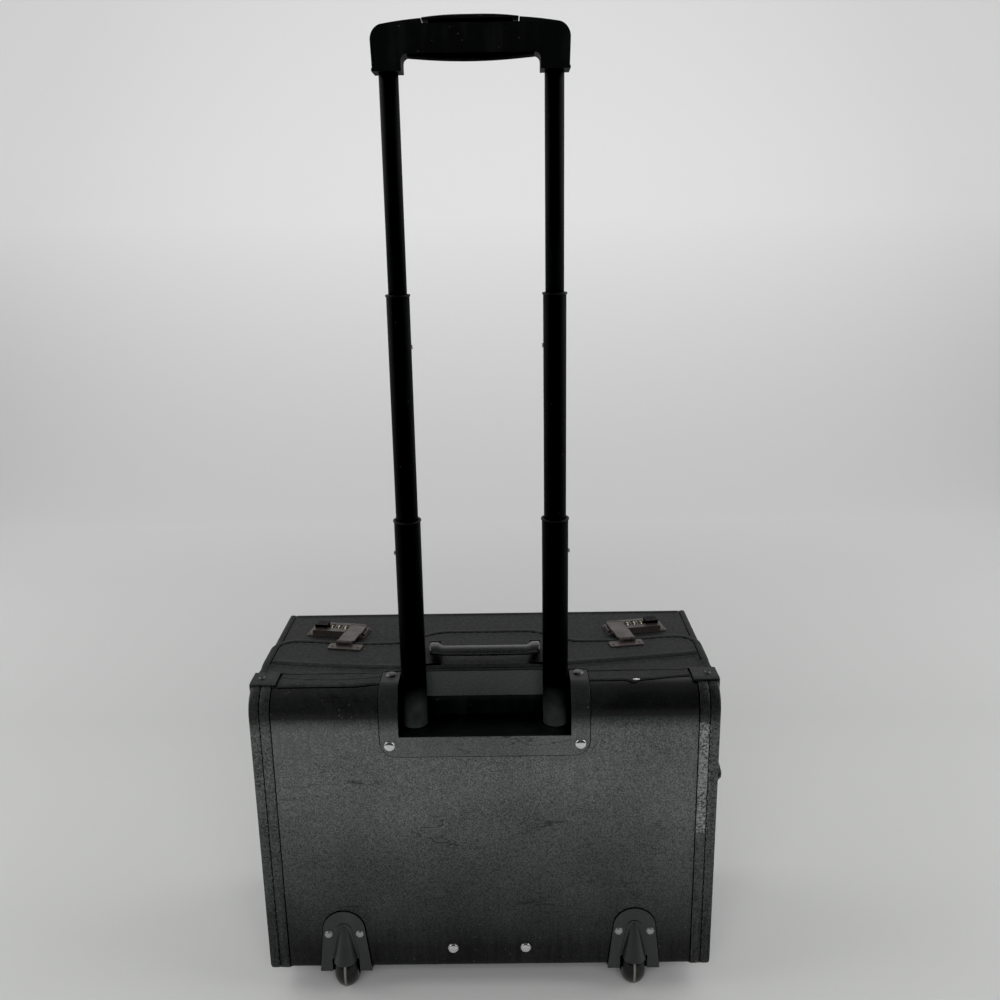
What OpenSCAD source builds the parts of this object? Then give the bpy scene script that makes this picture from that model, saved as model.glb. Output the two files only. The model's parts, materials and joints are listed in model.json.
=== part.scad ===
// Rolling briefcase: a board case covered in leatherette, with a two part top,
// combination locks, a three stage pull handle and two wheels.
// X runs across the case, Y from its wheel side to its front, Z up from the floor.

/* [Case] */
// Width over the edge bindings
case_w = 457; // [400:1:520]
// Depth from the back face to the front face
case_d = 203; // [180:1:260]
// Height of the case body, without wheels and feet
case_h = 316; // [290:1:380]
// Thickness of the covered board walls
wall = 5; // [4.5:0.1:6]
// Radius of the rounded top edge above the wheels
back_top_r = 24; // [16:1:28]
// Radius of the rounded bottom edges
bottom_r = 11; // [7:1:16]
// Clear height from the floor to the case
ride_h = 23; // [21:1:28]

/* [Bindings and patches] */
// Thickness of the leather bindings
bind_t = 1.2; // [0.8:0.1:1.5]
// Width of the side bindings on the back and front faces
bind_w = 20; // [12:1:30]
// Width of the side bindings on the end faces
bind_side_w = 11; // [6:1:20]
// Thickness of the corner tabs
tab_t = 1.6; // [1:0.1:2]
// Width of a corner tab across the case
tab_w = 24; // [21:1:35]
// Distance from the back face to the corner tabs' rear edge
tab_back = 18; // [15:0.5:22]
// Length of a corner tab from its rear edge forwards
tab_l = 26; // [20:0.5:27]
// Distance from the back face to the hinge band's sewn edge
band_back = 17; // [14:0.5:20]
// Drop of a corner tab down the end face
tab_drop = 20; // [10:1:35]

/* [Recess for the pull grip] */
// Clear width of the recess
recess_w = 168.2; // [167:0.2:180]
// Clear depth of the recess from the back face
recess_d = 48; // [46:1:60]
// Clear height of the recess below the top
recess_h = 47; // [44:1:55]
// Width of the riveted trim beside the recess
trim_side_w = 18.3; // [16:0.1:30]
// Width of the riveted trim below the recess
trim_low_w = 21; // [16:1:40]
// Thickness of the riveted trim
trim_t = 1.4; // [1:0.1:2]
// Outer corner radius of the riveted trim
trim_r = 16; // [6:1:18]
// Length of the trim's legs along the top, from the back face
trim_top_d = 45; // [44:1:48]
// Wall thickness of the plastic tray
tray_t = 2; // [1.5:0.1:2.4]
// Height of the tray's low wall against the partition
tray_low_h = 20; // [10:1:30]
// Thickness of the partition board behind the tray
partition_t = 4; // [3:0.5:6]

/* [Rivets] */
// Head diameter of the case rivets
rivet_d = 11; // [8:0.5:13]
// Head height of the case rivets
rivet_h = 2.2; // [1.5:0.1:3]
// Shank diameter of every rivet
shank_d = 3; // [2:0.5:3.5]
// Depth of every rivet's shank in what it holds
shank_l = 4.2; // [2:0.1:4.3]
// Distance of the low back rivets from the middle
low_rivet_x = 37.6; // [25:0.1:60]
// Height of the low back rivets above the case bottom
low_rivet_z = 25.5; // [18:0.5:34]

/* [Pull handle] */
// Distance between the tube axes
tube_span = 140; // [136:1:150]
// Distance of the tube axes from the back face
tube_y = 31; // [28:0.5:32]
// Outer diameter of the top tubes
top_tube_d = 16.8; // [15:0.1:17]
// Outer diameter of the middle tubes
mid_tube_d = 20.9; // [20.6:0.1:21.2]
// Outer diameter of the low tubes
low_tube_d = 25; // [24.8:0.1:25.4]
// Outer diameter of the channels inside the case
channel_d = 28.8; // [28.6:0.1:29.6]
// Wall thickness of every tube
tube_t = 1.2; // [0.8:0.1:1.3]
// Length of the top tubes that shows when the handle is out
top_show = 183; // [150:1:186]
// Length of the middle tubes that shows when the handle is out
mid_show = 209; // [170:1:211]
// Length of the low tubes that shows when the handle is out
low_show = 212; // [175:1:214]
// Length of every tube that stays inside the next one
overlap_l = 45; // [35:1:50]
// Height of the flange at the top of a collar
collar_h = 2; // [1:0.5:3]
// How far a collar's flange stands out of its tube
collar_out = 0.8; // [0.4:0.1:1.2]
// Length of a collar's sleeve inside its tube
collar_sleeve_l = 14; // [8:1:20]
// Radial clearance between a collar and the tube in it
slide_gap = 0.4; // [0.3:0.05:0.5]
// Gap left between stages when the handle is pushed in
stage_gap = 0.5; // [0.3:0.1:1]
// Diameter of the spring buttons in the tube walls
pin_d = 4; // [3:0.5:5]
// How far the middle tubes' spring buttons stand out
mid_pin_out = 1.3; // [0.8:0.1:1.4]
// How far the low tubes' spring buttons stand out
low_pin_out = 1.6; // [0.8:0.1:1.7]
// Distance of the middle tubes' buttons below the collar
mid_pin_drop = 47; // [30:1:49]
// Distance of the low tubes' buttons below the collar
low_pin_drop = 33; // [20:1:34]

/* [Pull grip] */
// Width of the grip at its shoulders
grip_w = 166; // [164:0.5:166.4]
// Width of the grip at the lower ends of its legs
grip_foot_w = 164.4; // [162:0.5:166]
// Height of the grip in the middle
grip_h = 43; // [38:1:44]
// Drop of the grip's top edge from its middle to its shoulders
grip_crown = 6; // [2:0.5:9]
// Depth of the grip from back to front
grip_d = 26; // [24:0.5:28]
// Height of the bar above the finger gap
bar_h = 30; // [26:1:31]
// Width between the legs
grip_gap_w = 116; // [112:0.5:120]
// Length of the release button
button_l = 81; // [60:1:90]
// Width of the release button from back to front
button_w = 20; // [16:0.5:22]
// Depth of the cut-out in the grip that the release button lies in
button_drop = 6.5; // [6:0.1:7]
// Height of the release button's cap below the grip's top
button_cap = 3.4; // [3:0.1:3.5]
// Travel of the release button
button_travel = 2.5; // [1.5:0.1:3]
// Diameter of the release rods in the top tubes
rod_d = 5; // [4:0.5:6]

/* [Top flap and lid] */
// Distance from the back face to the flap's crease
crease_y = 52.5; // [52.5:0.1:56]
// Thickness of the flap
flap_t = 3.5; // [2.5:0.1:4]
// Reach of the flap's middle tongue from the back face
tongue_y = 144; // [138:1:149]
// Reach of the flap at its two dips
dip_y = 115; // [110:1:118]
// Reach of the flap near its ends
ear_y = 124; // [118:1:127]
// Distance of the dips from the middle
dip_x = 112; // [105:1:118]
// Radius of the flap's outer corners
flap_r = 24; // [12:1:32]
// Width of the bead along the flap's edge
bead_w = 6; // [4:0.5:9]
// Height of the bead above the flap
bead_h = 0.8; // [0.4:0.1:1.2]
// Distance from the back face to the front lid's hidden edge
lid_back_y = 104; // [98:1:106]
// Gap between the lids and what they lie on
lid_gap = 0.3; // [0.2:0.05:0.5]

/* [Carry handle] */
// Gap between the carry handle's ends and the planes of the low tubes' inner sides
carry_side = 0.6; // [0.5:0.1:8]
// Width of the carry handle's bar
carry_w = 15; // [12:0.5:16]
// Thickness of the carry handle's bar at its ends
carry_t = 8; // [7:0.5:9]
// How much lower the bar hangs in its middle
carry_swell = 1; // [0.4:0.1:1.4]
// Height of the bar's top above the flap
carry_rise = 14; // [13.8:0.1:15]
// Distance from the pivots to the bar's middle
carry_arm = 20; // [18:0.5:24]
// Distance of the pivots from the back face
carry_y = 87.5; // [84:0.5:92]
// Height of the pivots above the flap
carry_z = 7.5; // [7:0.1:9]
// Width of each end block
carry_block_w = 12; // [8:0.5:16]
// Height of an end block above the bar
carry_block_h = 2; // [1:0.5:3]
// Diameter of the pivot pins
carry_pin_d = 4; // [3:0.5:4.5]
// Width of a bracket's plate across the case
bracket_w = 27; // [26:0.5:30]
// Length of a bracket's plate from its rear edge forwards
bracket_l = 40; // [38:0.5:44]
// Thickness of a bracket's plate
bracket_t = 2; // [1.4:0.1:2.2]

/* [Combination locks] */
// Distance of each lock's middle from the side of the case
lock_in = 65.5; // [60:0.5:72]
// Distance of each lock from the back face
lock_y = 151.5; // [150:0.5:158]
// Turn of each lock, outer end forward
lock_turn = 10; // [6:0.5:14]
// Length of the lock plate
lock_l = 66; // [60:1:70]
// Width of the lock plate
lock_w = 28; // [24:0.5:29]
// Height of the lock housing above the lid
lock_h = 6.4; // [5:0.1:7]
// Radius of a number dial
dial_r = 4.9; // [4.4:0.1:5]
// Width of a number dial
dial_w = 4.6; // [3.6:0.1:5.2]
// Distance from one dial to the next
dial_pitch = 7.6; // [7:0.1:8.2]
// How far a dial stands above the housing
dial_out = 0.9; // [0.5:0.1:1.2]
// Length of a lock slider's knob
slider_l = 14; // [10:0.5:15]
// Width of a lock slider's knob
slider_w = 13; // [10:0.5:14]
// Height of a lock slider's knob above the housing
slider_h = 3.6; // [2:0.1:4.5]
// Travel of a lock slider
slider_travel = 3; // [2:0.1:3.5]
// Width of a hasp
hasp_w = 18; // [15:0.5:20]
// Distance of a hasp from the lock's middle towards its inner end
hasp_u = 20.5; // [18:0.5:22]
// Thickness of a hasp
hasp_t = 1.8; // [1.4:0.1:2]
// Distance of a hasp's pivot from the lock's middle
hasp_pivot_v = 42; // [41:0.5:44]
// Radius of a hasp's barrel
hasp_barrel_r = 2.2; // [2:0.1:2.4]
// Length of a hasp's base plate
hasp_base_l = 36; // [32:1:40]
// Width of a hasp's base plate
hasp_base_w = 13; // [12:0.5:15]
// How far a hasp's base plate reaches past the hasp towards the middle
hasp_base_in = 2.5; // [0:0.5:4]

/* [Wheels and feet] */
// Distance of each wheel's middle from the side of the case
wheel_in = 79; // [72:0.5:88]
// Distance of the wheel axles from the back face
wheel_y = 12; // [11:0.5:12.5]
// Radius of the wheels
wheel_r = 24; // [23:0.5:24.5]
// Width of the wheels
wheel_w = 25; // [20:0.5:26]
// Diameter of the wheel axles
axle_d = 6; // [5:0.5:7]
// Gap between a wheel and its housing at each side
wheel_gap = 1.6; // [1:0.1:2]
// Thickness of the wheel housings
housing_t = 1.6; // [1.2:0.1:2]
// Height of a housing's plate above the case bottom
housing_h = 72; // [66:1:80]
// Width of a housing's plate near its top
housing_top_w = 43; // [40:1:50]
// Width of a housing's plate at its bottom
housing_low_w = 54; // [50:1:60]
// How far a housing's hood stands out of the back face
hood_out = 15; // [14.5:0.5:17]
// Height of the hood's open lip above the case bottom
hood_lip_z = 16; // [14:0.5:20]
// Height of the hood's top above the case bottom
hood_top_z = 58; // [54:1:60]
// Height of the raised line round the hood
rim_h = 0.9; // [0.5:0.1:1.2]
// Distance of the raised line's outer side from the hood
rim_out = 3; // [2:0.1:3.4]
// Height of a housing's rivets above the case bottom
housing_rivet_z = 45.5; // [42:0.5:48]
// Distance of a housing's rivets from the plate's sides
housing_rivet_in = 5.5; // [5.5:0.1:6]
// Diameter of the front feet
foot_d = 26; // [18:1:34]
// Distance of the feet from the front face
foot_in = 30; // [24:1:50]

/* [End face tab] */
// Distance of the end tab from the back face
tab2_y = 22; // [16:1:40]
// Height of the end tab's top above the case bottom
tab2_z = 252; // [180:1:262]
// Length of the end tab
tab2_l = 42; // [30:1:60]
// Width of the end tab
tab2_w = 18; // [12:1:24]

/* [Hidden] */
$fn = 72;
eps = 0.01;
gap = 0.3;

black_leather = [0.07, 0.07, 0.075];
black_plastic = [0.05, 0.05, 0.05];
tube_black = [0.09, 0.09, 0.09];
chrome = [0.8, 0.8, 0.82];
gunmetal = [0.25, 0.23, 0.22];
brass = [0.7, 0.6, 0.35];
cloth = [0.12, 0.12, 0.12];

shell_w = case_w - 2 * bind_t;
half_w = shell_w / 2;
lid_t = wall - lid_gap;
recess_x = recess_w / 2;
recess_z = case_h - recess_h;
trim_x = recess_x + trim_side_w;
trim_z = recess_z - trim_low_w;
trim_rivet_x = recess_x + trim_side_w / 2;
trim_rivet_z = recess_z - trim_low_w * 0.42;
trim_rivet_y = trim_top_d - 7;
back_y = (hood_out - case_d - bind_t) / 2;
band_front = recess_d + partition_t;
tube_x = tube_span / 2;
lock_x = case_w / 2 - lock_in;
wheel_x = case_w / 2 - wheel_in;
low_top = recess_z + low_show;
mid_top = low_top + mid_show;
leg_z = mid_top + top_show;
low_travel = low_show - collar_h - stage_gap;
mid_travel = mid_show - collar_h - stage_gap;
top_travel = top_show - stage_gap;
grip_top = leg_z + grip_h;
bar_z = grip_top - bar_h;
flap_z = case_h + lid_gap;
flap_top = flap_z + flap_t;
hinge_z = case_h + bind_t + gap;
tab_front = tab_back + tab_l;
tab_rivet_y = (tab_back + tab_front) / 2;
carry_pivot_z = flap_top + carry_z;
carry_l = tube_span - low_tube_d - 2 * carry_side;
dial_axis_z = case_h + lock_h + dial_out - dial_r;
hasp_pivot_z = flap_top + 1.4 + hasp_barrel_r;
bay_x = wheel_w / 2 + wheel_gap;
bay_y = wheel_y + wheel_r + 2;
bay_z = wheel_r - ride_h + wheel_r + 2.5;
wheel_z = wheel_r - ride_h;
ear_t = housing_t + 1.4;
axle_head_t = 1.6;
bracket_z = bottom_r + 0.5;
channel_z = bracket_z + 1.5;
tube_in_grip = grip_h - bar_h + 9;
foot_y = case_d - foot_in;
lock_tub_l = 2 * dial_pitch + dial_w + 3.2;
lock_tub_w = 2 * dial_r + 4;
slider_u = lock_l / 2 - 14;
hasp_x = -hasp_u;
hasp_base_x = hasp_x - hasp_base_in;
hasp_rivet_v = hasp_base_w / 2 - 0.3;
hasp_tip = 8.4;
hasp_catch_y = 4.5;
carry_eye_r = 4.6;
carry_eye_w = 6;
carry_ear_t = 2;
bar_y = carry_y - carry_arm;
bar_d = carry_t + carry_swell;
bar_top = flap_top + carry_rise;
bracket_x = carry_l / 2 + 1;
bracket_y = crease_y + 1.5 + bracket_l / 2;
stem_l = button_l - 10;
stem_w = 9;

// Puts a module's parts in the row frame: back face behind, floor at zero.
module placed() {
  translate([0, back_y, ride_h]) children();
}

// Extrudes an outline drawn in (depth, height) across the case.
module across(w, x = 0) {
  translate([x, 0, 0]) rotate([90, 0, 90]) linear_extrude(w, center = true) children();
}

// Extrudes an outline drawn in (across, height) from y0 to y1.
module through(y0, y1) {
  translate([0, y1, 0]) rotate([90, 0, 0]) linear_extrude(y1 - y0) children();
}

// Removes a square corner and leaves a quarter round, for use in a difference.
module corner_cut(at, r, turn) {
  translate(at) rotate(turn) difference() {
    translate([-1, -1]) square(r + 1);
    translate([r, r]) circle(r);
  }
}

// Side outline of the closed case, moved inwards by an inset.
module case_outline(inset) {
  difference() {
    translate([inset, inset]) square([case_d - 2 * inset, case_h - 2 * inset]);
    corner_cut([inset, case_h - inset], back_top_r - inset, 270);
    corner_cut([inset, inset], bottom_r - inset, 0);
    corner_cut([case_d - inset, inset], bottom_r - inset, 90);
  }
}

// A skin of thickness t that lies on the case outline.
module case_skin(t, over = 0) {
  difference() {
    case_outline(-over - t);
    case_outline(-over);
  }
}

module rounded_box(size, r) {
  linear_extrude(size[2], center = true) difference() {
    square([size[0], size[1]], center = true);
    for (q = [0 : 3])
      rotate(q * 90) {
        s = q % 2 == 0 ? [size[0], size[1]] : [size[1], size[0]];
        corner_cut([-s[0] / 2, -s[1] / 2], r, 0);
      }
  }
}

// A domed rivet whose head stands on z = 0 and whose shank goes below.
module rivet(d, h, l = shank_l) {
  rotate_extrude() intersection() {
    sphere_r = (d * d / 4 + h * h) / (2 * h);
    translate([0, h - sphere_r]) circle(sphere_r);
    square([d, h]);
  }
  translate([0, 0, -l]) cylinder(d = shank_d, h = l + eps);
}

module shank_hole(l = shank_l + 0.4) {
  translate([0, 0, -l]) cylinder(d = shank_d + 0.4, h = l + 8);
}

// The places of the case rivets: two beside the recess foot, two on top, two low.
module at_back_rivets() {
  for (s = [-1, 1]) {
    translate([s * trim_rivet_x, -trim_t, trim_rivet_z]) rotate([90, 0, 0]) children();
    translate([s * trim_rivet_x, trim_rivet_y, case_h + trim_t]) children();
    translate([s * low_rivet_x, 0, low_rivet_z]) rotate([90, 0, 0]) children();
  }
}

module at_housing_rivets() {
  for (s = [-1, 1], t = [-1, 1])
    translate([s * wheel_x + t * (housing_top_w / 2 - housing_rivet_in), -housing_t, housing_rivet_z])
      rotate([90, 0, 0]) children();
}

module at_tab_rivets() {
  for (s = [-1, 1])
    translate([s * (half_w - tab_w * 0.3), tab_rivet_y, case_h + bind_t + tab_t]) children();
}

module at_tubes() {
  for (s = [-1, 1]) translate([s * tube_x, tube_y, 0]) children();
}

// Moves a lock's own frame to the left (-1) or right (1) lock; its +X points outwards.
module at_lock(side) {
  translate([side * lock_x, lock_y, case_h])
    if (side < 0) mirror([1, 0, 0]) rotate([0, 0, lock_turn]) children();
    else rotate([0, 0, lock_turn]) children();
}

// The case body and what is sewn or riveted to it.

// Room in the case for a housing's bay and for its axle bosses.
module wheel_bay_cut(side, extra) {
  boss = 2 * (bay_x + ear_t + axle_head_t + extra);
  translate([side * wheel_x, 0, 0]) {
    translate([0, bay_y / 2 - 10, bay_z / 2 - 10])
      cube([2 * (bay_x + housing_t + extra), bay_y + 2 * housing_t + 2 * extra + 20,
            bay_z + 2 * housing_t + 2 * extra + 20], center = true);
    translate([0, wheel_y, wheel_z]) cube([boss, 16 + 2 * extra, 16 + 2 * extra], center = true);
  }
}

module shell_wrap() color(black_leather) placed() difference() {
  across(shell_w) difference() {
    case_outline(0);
    case_outline(wall);
  }
  translate([-case_w / 2, band_front, case_h - wall - eps])
    cube([case_w, case_d, wall + 1]);
  translate([-recess_x - tray_t, -1, recess_z - tray_t])
    cube([2 * (recess_x + tray_t), band_front + 1, recess_h + tray_t + 5]);
  for (s = [-1, 1]) wheel_bay_cut(s, 0.2);
  at_back_rivets() shank_hole();
  at_housing_rivets() shank_hole();
  at_tab_rivets() shank_hole(shank_l + 1.8);
  for (s = [-1, 1]) translate([s * wheel_x, foot_y, 0]) cylinder(d = 4.4, h = 30, center = true);
}

module side_panel(side) color(black_leather) placed()
  difference() {
    across(wall, side * (half_w - wall / 2)) case_outline(wall);
    if (side > 0)
      translate([half_w, tab2_y, tab2_z - 8]) rotate([0, 90, 0]) shank_hole();
  }

module side_panel_left() { side_panel(-1); }
module side_panel_right() { side_panel(1); }

// Bound edge: a strip on the back, bottom and front, folded over the end face.
module edge_binding(side) color(black_leather) placed() difference() {
  union() {
    across(bind_w, side * (half_w + bind_t - bind_w / 2)) case_skin(bind_t);
    across(bind_t, side * (half_w + bind_t / 2)) difference() {
      case_outline(0);
      case_outline(bind_side_w);
    }
  }
  translate([-case_w, band_front, case_h - wall]) cube([2 * case_w, case_d, 20]);
  at_tab_rivets() shank_hole();
  for (s = [-1, 1]) translate([s * wheel_x, foot_y, 0]) cylinder(d = foot_d + 1, h = 9, center = true);
}

module edge_binding_left() { edge_binding(-1); }
module edge_binding_right() { edge_binding(1); }

module partition_board() color(black_leather) placed() {
  translate([-half_w + wall, recess_d, wall])
    cube([shell_w - 2 * wall, partition_t, case_h - 2 * wall]);
  translate([-recess_x - tray_t, recess_d, case_h - wall])
    cube([2 * (recess_x + tray_t), partition_t, wall]);
}

// Cloth tub in the main compartment.
module lining() color(cloth) placed() {
  x = half_w - wall;
  y0 = band_front;
  y1 = case_d - wall;
  difference() {
    translate([-x, y0, wall]) cube([2 * x, y1 - y0, case_h - 2 * wall - 2]);
    translate([-x + 1, y0 + 1, wall + 1]) cube([2 * x - 2, y1 - y0 - 2, case_h]);
    corner_strip(x, y1);
  }
}

// Clears the lining from the rounded inner corner at the front.
module corner_strip(x, y1) {
  across(2 * x + 2) corner_cut([y1, wall], bottom_r - wall, 90);
}

// Plastic tray that lines the recess, with two holes for the handle channels.
module handle_tray() color(black_plastic) placed() difference() {
  union() {
    for (s = [-1, 1])
      translate([s * (recess_x + tray_t / 2), 0, recess_z - tray_t])
        across(tray_t) intersection() {
          square([recess_d, recess_h + tray_t]);
          translate([0, -recess_z + tray_t]) case_outline(0);
        }
    translate([-recess_x - tray_t, 0, recess_z - tray_t])
      cube([2 * (recess_x + tray_t), recess_d, tray_t]);
    translate([-recess_x, recess_d - tray_t, recess_z])
      cube([recess_w, tray_t, tray_low_h]);
    at_tubes() translate([0, 0, recess_z - 12]) cylinder(d = channel_d + 5, h = 11);
  }
  at_tubes() translate([0, 0, recess_z - 20]) cylinder(d = channel_d, h = 30);
}

// U shaped patch riveted round the recess, bent over the rounded top edge.
module recess_trim() color(black_leather) placed() difference() {
  intersection() {
    across(2 * trim_x) case_skin(trim_t);
    through(-5, trim_top_d) difference() {
      translate([-trim_x, trim_z]) square([2 * trim_x, case_h - trim_z + 5]);
      corner_cut([-trim_x, trim_z], trim_r, 0);
      corner_cut([trim_x, trim_z], trim_r, 90);
      translate([-recess_x, recess_z]) square([recess_w, recess_h + 10]);
    }
  }
  at_back_rivets() shank_hole();
}

module chrome_rivets() color(chrome) placed() at_back_rivets() rivet(rivet_d, rivet_h);

module corner_tab(side) color(black_plastic) placed() difference() {
  union() {
    intersection() {
      across(tab_w, side * (half_w + bind_t - tab_w / 2)) case_skin(tab_t, bind_t);
      translate([-case_w, tab_back, case_h - back_top_r])
        cube([2 * case_w, tab_front - tab_back, back_top_r + 10]);
    }
    intersection() {
      across(tab_t, side * (half_w + bind_t + tab_t / 2)) case_outline(-bind_t - tab_t);
      translate([-case_w, tab_back, case_h - tab_drop])
        cube([2 * case_w, tab_front - tab_back, tab_drop + 10]);
    }
  }
  at_tab_rivets() shank_hole();
}

module corner_tab_left() { corner_tab(-1); }
module corner_tab_right() { corner_tab(1); }

module corner_tab_rivets() color(gunmetal) placed() at_tab_rivets() rivet(7.5, 1.4);

// Leather of the flap sewn down on the top, between corner tabs and trim.
module hinge_band() color(black_leather) placed() {
  inner = trim_x + gap;
  outer = half_w + bind_t - tab_w - gap;
  for (s = [-1, 1])
    intersection() {
      across(outer - inner, s * (outer + inner) / 2) case_skin(bind_t);
      translate([-case_w, band_back, case_h - back_top_r])
        cube([2 * case_w, band_front - band_back, back_top_r + 10]);
    }
}

// Leather loop riveted to the right end face.
module end_tab() color(black_leather) placed() {
  difference() {
    translate([half_w, tab2_y, tab2_z]) rotate([90, 0, 0]) linear_extrude(tab2_w, center = true)
      difference() {
        polygon([[0, 0], [1.6, 0], [2.4, -tab2_l * 0.35], [7.5, -tab2_l * 0.8],
                 [7, -tab2_l + 3], [4, -tab2_l], [1, -tab2_l + 3], [0, -tab2_l * 0.8]]);
        polygon([[1.5, -tab2_l * 0.5], [5.8, -tab2_l * 0.82], [5, -tab2_l + 4], [2.4, -tab2_l + 4]]);
      }
    translate([half_w + 2, tab2_y, tab2_z - 8]) rotate([0, 90, 0]) shank_hole(6);
  }
  translate([half_w + 1.9, tab2_y, tab2_z - 8]) rotate([0, 90, 0]) rivet(7.5, 1.4);
}

// The pull handle: channels, three stages of tubes, spring buttons and grip.

module tube(d, z0, z1) {
  translate([0, 0, z0]) difference() {
    cylinder(d = d, h = z1 - z0);
    translate([0, 0, -1]) cylinder(d = d - 2 * tube_t, h = z1 - z0 + 2);
  }
}

// Collar: a flange on the tube's end and a sleeve that guides the next tube.
module collar(d, inner_d, top) {
  difference() {
    union() {
      translate([0, 0, top - collar_h]) cylinder(d = d + 2 * collar_out, h = collar_h);
      translate([0, 0, top - collar_h - collar_sleeve_l])
        cylinder(d = d - 2 * tube_t, h = collar_sleeve_l + eps);
    }
    translate([0, 0, top - 50]) cylinder(d = inner_d + 2 * slide_gap, h = 60);
  }
}

module channel(side) color(tube_black) placed()
  translate([side * tube_x, tube_y, 0]) tube(channel_d, channel_z, recess_z);

module channel_left() { channel(-1); }
module channel_right() { channel(1); }

// Moulded bracket that holds the feet of both channels to the back board.
module lower_bracket() color(black_plastic) placed() {
  z0 = bracket_z;
  z1 = 38;
  difference() {
    union() {
      translate([-tube_x, wall, z0]) cube([tube_span, 5, z1 - z0]);
      at_tubes() translate([0, 0, z0]) cylinder(d = channel_d + 4, h = z1 - z0);
      for (s = [-1, 1]) translate([s * tube_x - 8, wall, z0]) cube([16, 12, z1 - z0]);
      for (x = [-40 : 20 : 40]) translate([x - 1, wall, z0]) cube([2, 11, z1 - z0]);
    }
    at_tubes() translate([0, 0, channel_z]) cylinder(d = channel_d, h = 60);
    at_back_rivets() shank_hole(wall + 8);
  }
}

module low_tube(side) color(tube_black) placed() difference() {
  translate([side * tube_x, tube_y, 0])
    tube(low_tube_d, recess_z - overlap_l, low_top - collar_h);
  translate([side * (tube_x + low_tube_d / 2), tube_y, low_top - low_pin_drop])
    rotate([0, 90, 0]) cylinder(d = pin_d + 0.5, h = 8, center = true);
}

module low_tube_left() { low_tube(-1); }
module low_tube_right() { low_tube(1); }
module low_collars() color(black_plastic) placed()
  at_tubes() collar(low_tube_d, mid_tube_d, low_top);

module mid_tube(side) color(tube_black) placed() difference() {
  translate([side * tube_x, tube_y, 0])
    tube(mid_tube_d, low_top - overlap_l, mid_top - collar_h);
  translate([side * (tube_x - mid_tube_d / 2), tube_y, mid_top - mid_pin_drop])
    rotate([0, 90, 0]) cylinder(d = pin_d + 0.5, h = 8, center = true);
}

module mid_tube_left() { mid_tube(-1); }
module mid_tube_right() { mid_tube(1); }
module mid_collars() color(black_plastic) placed()
  at_tubes() collar(mid_tube_d, top_tube_d, mid_top);

// Spring button seated in a tube wall; out is +1 on the outer face, -1 on the inner.
module spring_pin(side, out, tube_d, proud, seat_r, z) {
  r1 = tube_d / 2 + proud;
  translate([side * tube_x, tube_y, z]) rotate([0, side * out * 90, 0])
    rotate_extrude() difference() {
      translate([0, seat_r]) square([pin_d / 2, r1 - seat_r]);
      corner_cut([pin_d / 2, r1], 0.8, 180);
    }
}

module low_pin(side) color(chrome) placed()
  spring_pin(side, 1, low_tube_d, low_pin_out, low_tube_d / 2 - 0.6, low_top - low_pin_drop);
module mid_pin(side) color(chrome) placed()
  spring_pin(side, -1, mid_tube_d, mid_pin_out, mid_tube_d / 2 - 0.55, mid_top - mid_pin_drop);

module low_pin_left() { low_pin(-1); }
module low_pin_right() { low_pin(1); }
module mid_pin_left() { mid_pin(-1); }
module mid_pin_right() { mid_pin(1); }

module top_tube(side) color(tube_black) placed()
  translate([side * tube_x, tube_y, 0]) tube(top_tube_d, mid_top - overlap_l, leg_z + tube_in_grip);

module top_tube_left() { top_tube(-1); }
module top_tube_right() { top_tube(1); }

// Front outline of the grip: arched top, rounded shoulders, legs that narrow downwards.
module grip_outline() {
  r = 13;
  lip = 0.7;
  arch_r = (pow(grip_w / 2 - r, 2) + pow(grip_crown, 2)) / (2 * grip_crown);
  difference() {
    intersection() {
      union() {
        polygon([[-grip_foot_w / 2, leg_z], [grip_foot_w / 2, leg_z],
                 [grip_w / 2, grip_top - grip_crown - r], [-grip_w / 2, grip_top - grip_crown - r]]);
        translate([-grip_w / 2 + r, grip_top - grip_crown - r - eps])
          square([grip_w - 2 * r, grip_crown + r + eps]);
        for (s = [-1, 1]) translate([s * (grip_w / 2 - r), grip_top - grip_crown - r]) circle(r);
        translate([-grip_foot_w / 2 - lip, leg_z]) square([grip_foot_w + 2 * lip, 2.4]);
      }
      translate([0, grip_top - arch_r]) circle(arch_r, $fn = 240);
    }
    translate([-grip_gap_w / 2, leg_z - 1]) square([grip_gap_w, bar_z - leg_z + 1 - 5]);
    translate([-grip_gap_w / 2 + 5, leg_z]) square([grip_gap_w - 10, bar_z - leg_z]);
    for (s = [-1, 1]) translate([s * (grip_gap_w / 2 - 5), bar_z - 5]) circle(5);
  }
}

// Section of the grip seen from its end, with well rounded edges.
module grip_section() {
  r = 10;
  difference() {
    translate([tube_y - grip_d / 2, leg_z - 1]) square([grip_d, grip_h + 1]);
    corner_cut([tube_y - grip_d / 2, grip_top - 1], r, 270);
    corner_cut([tube_y + grip_d / 2, grip_top - 1], r, 180);
  }
}

module pull_grip() color(black_plastic) placed() difference() {
  intersection() {
    through(tube_y - grip_d / 2, tube_y + grip_d / 2) grip_outline();
    across(grip_w + 2) grip_section();
  }
  at_tubes() translate([0, 0, leg_z - 1]) cylinder(d = top_tube_d, h = tube_in_grip + 1);
  translate([-tube_x - 4, tube_y - 4, bar_z + 9])
    cube([tube_span + 8, 8, bar_h - 9 - grip_crown - 4.5]);
  translate([-button_l / 2 - 0.4, tube_y - grip_d, grip_top - button_drop])
    cube([button_l + 0.8, 2 * grip_d, 2 * button_drop]);
  translate([0, tube_y, grip_top]) rounded_box([stem_l + 0.8, stem_w + 0.8, 24], 4);
}

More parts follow.
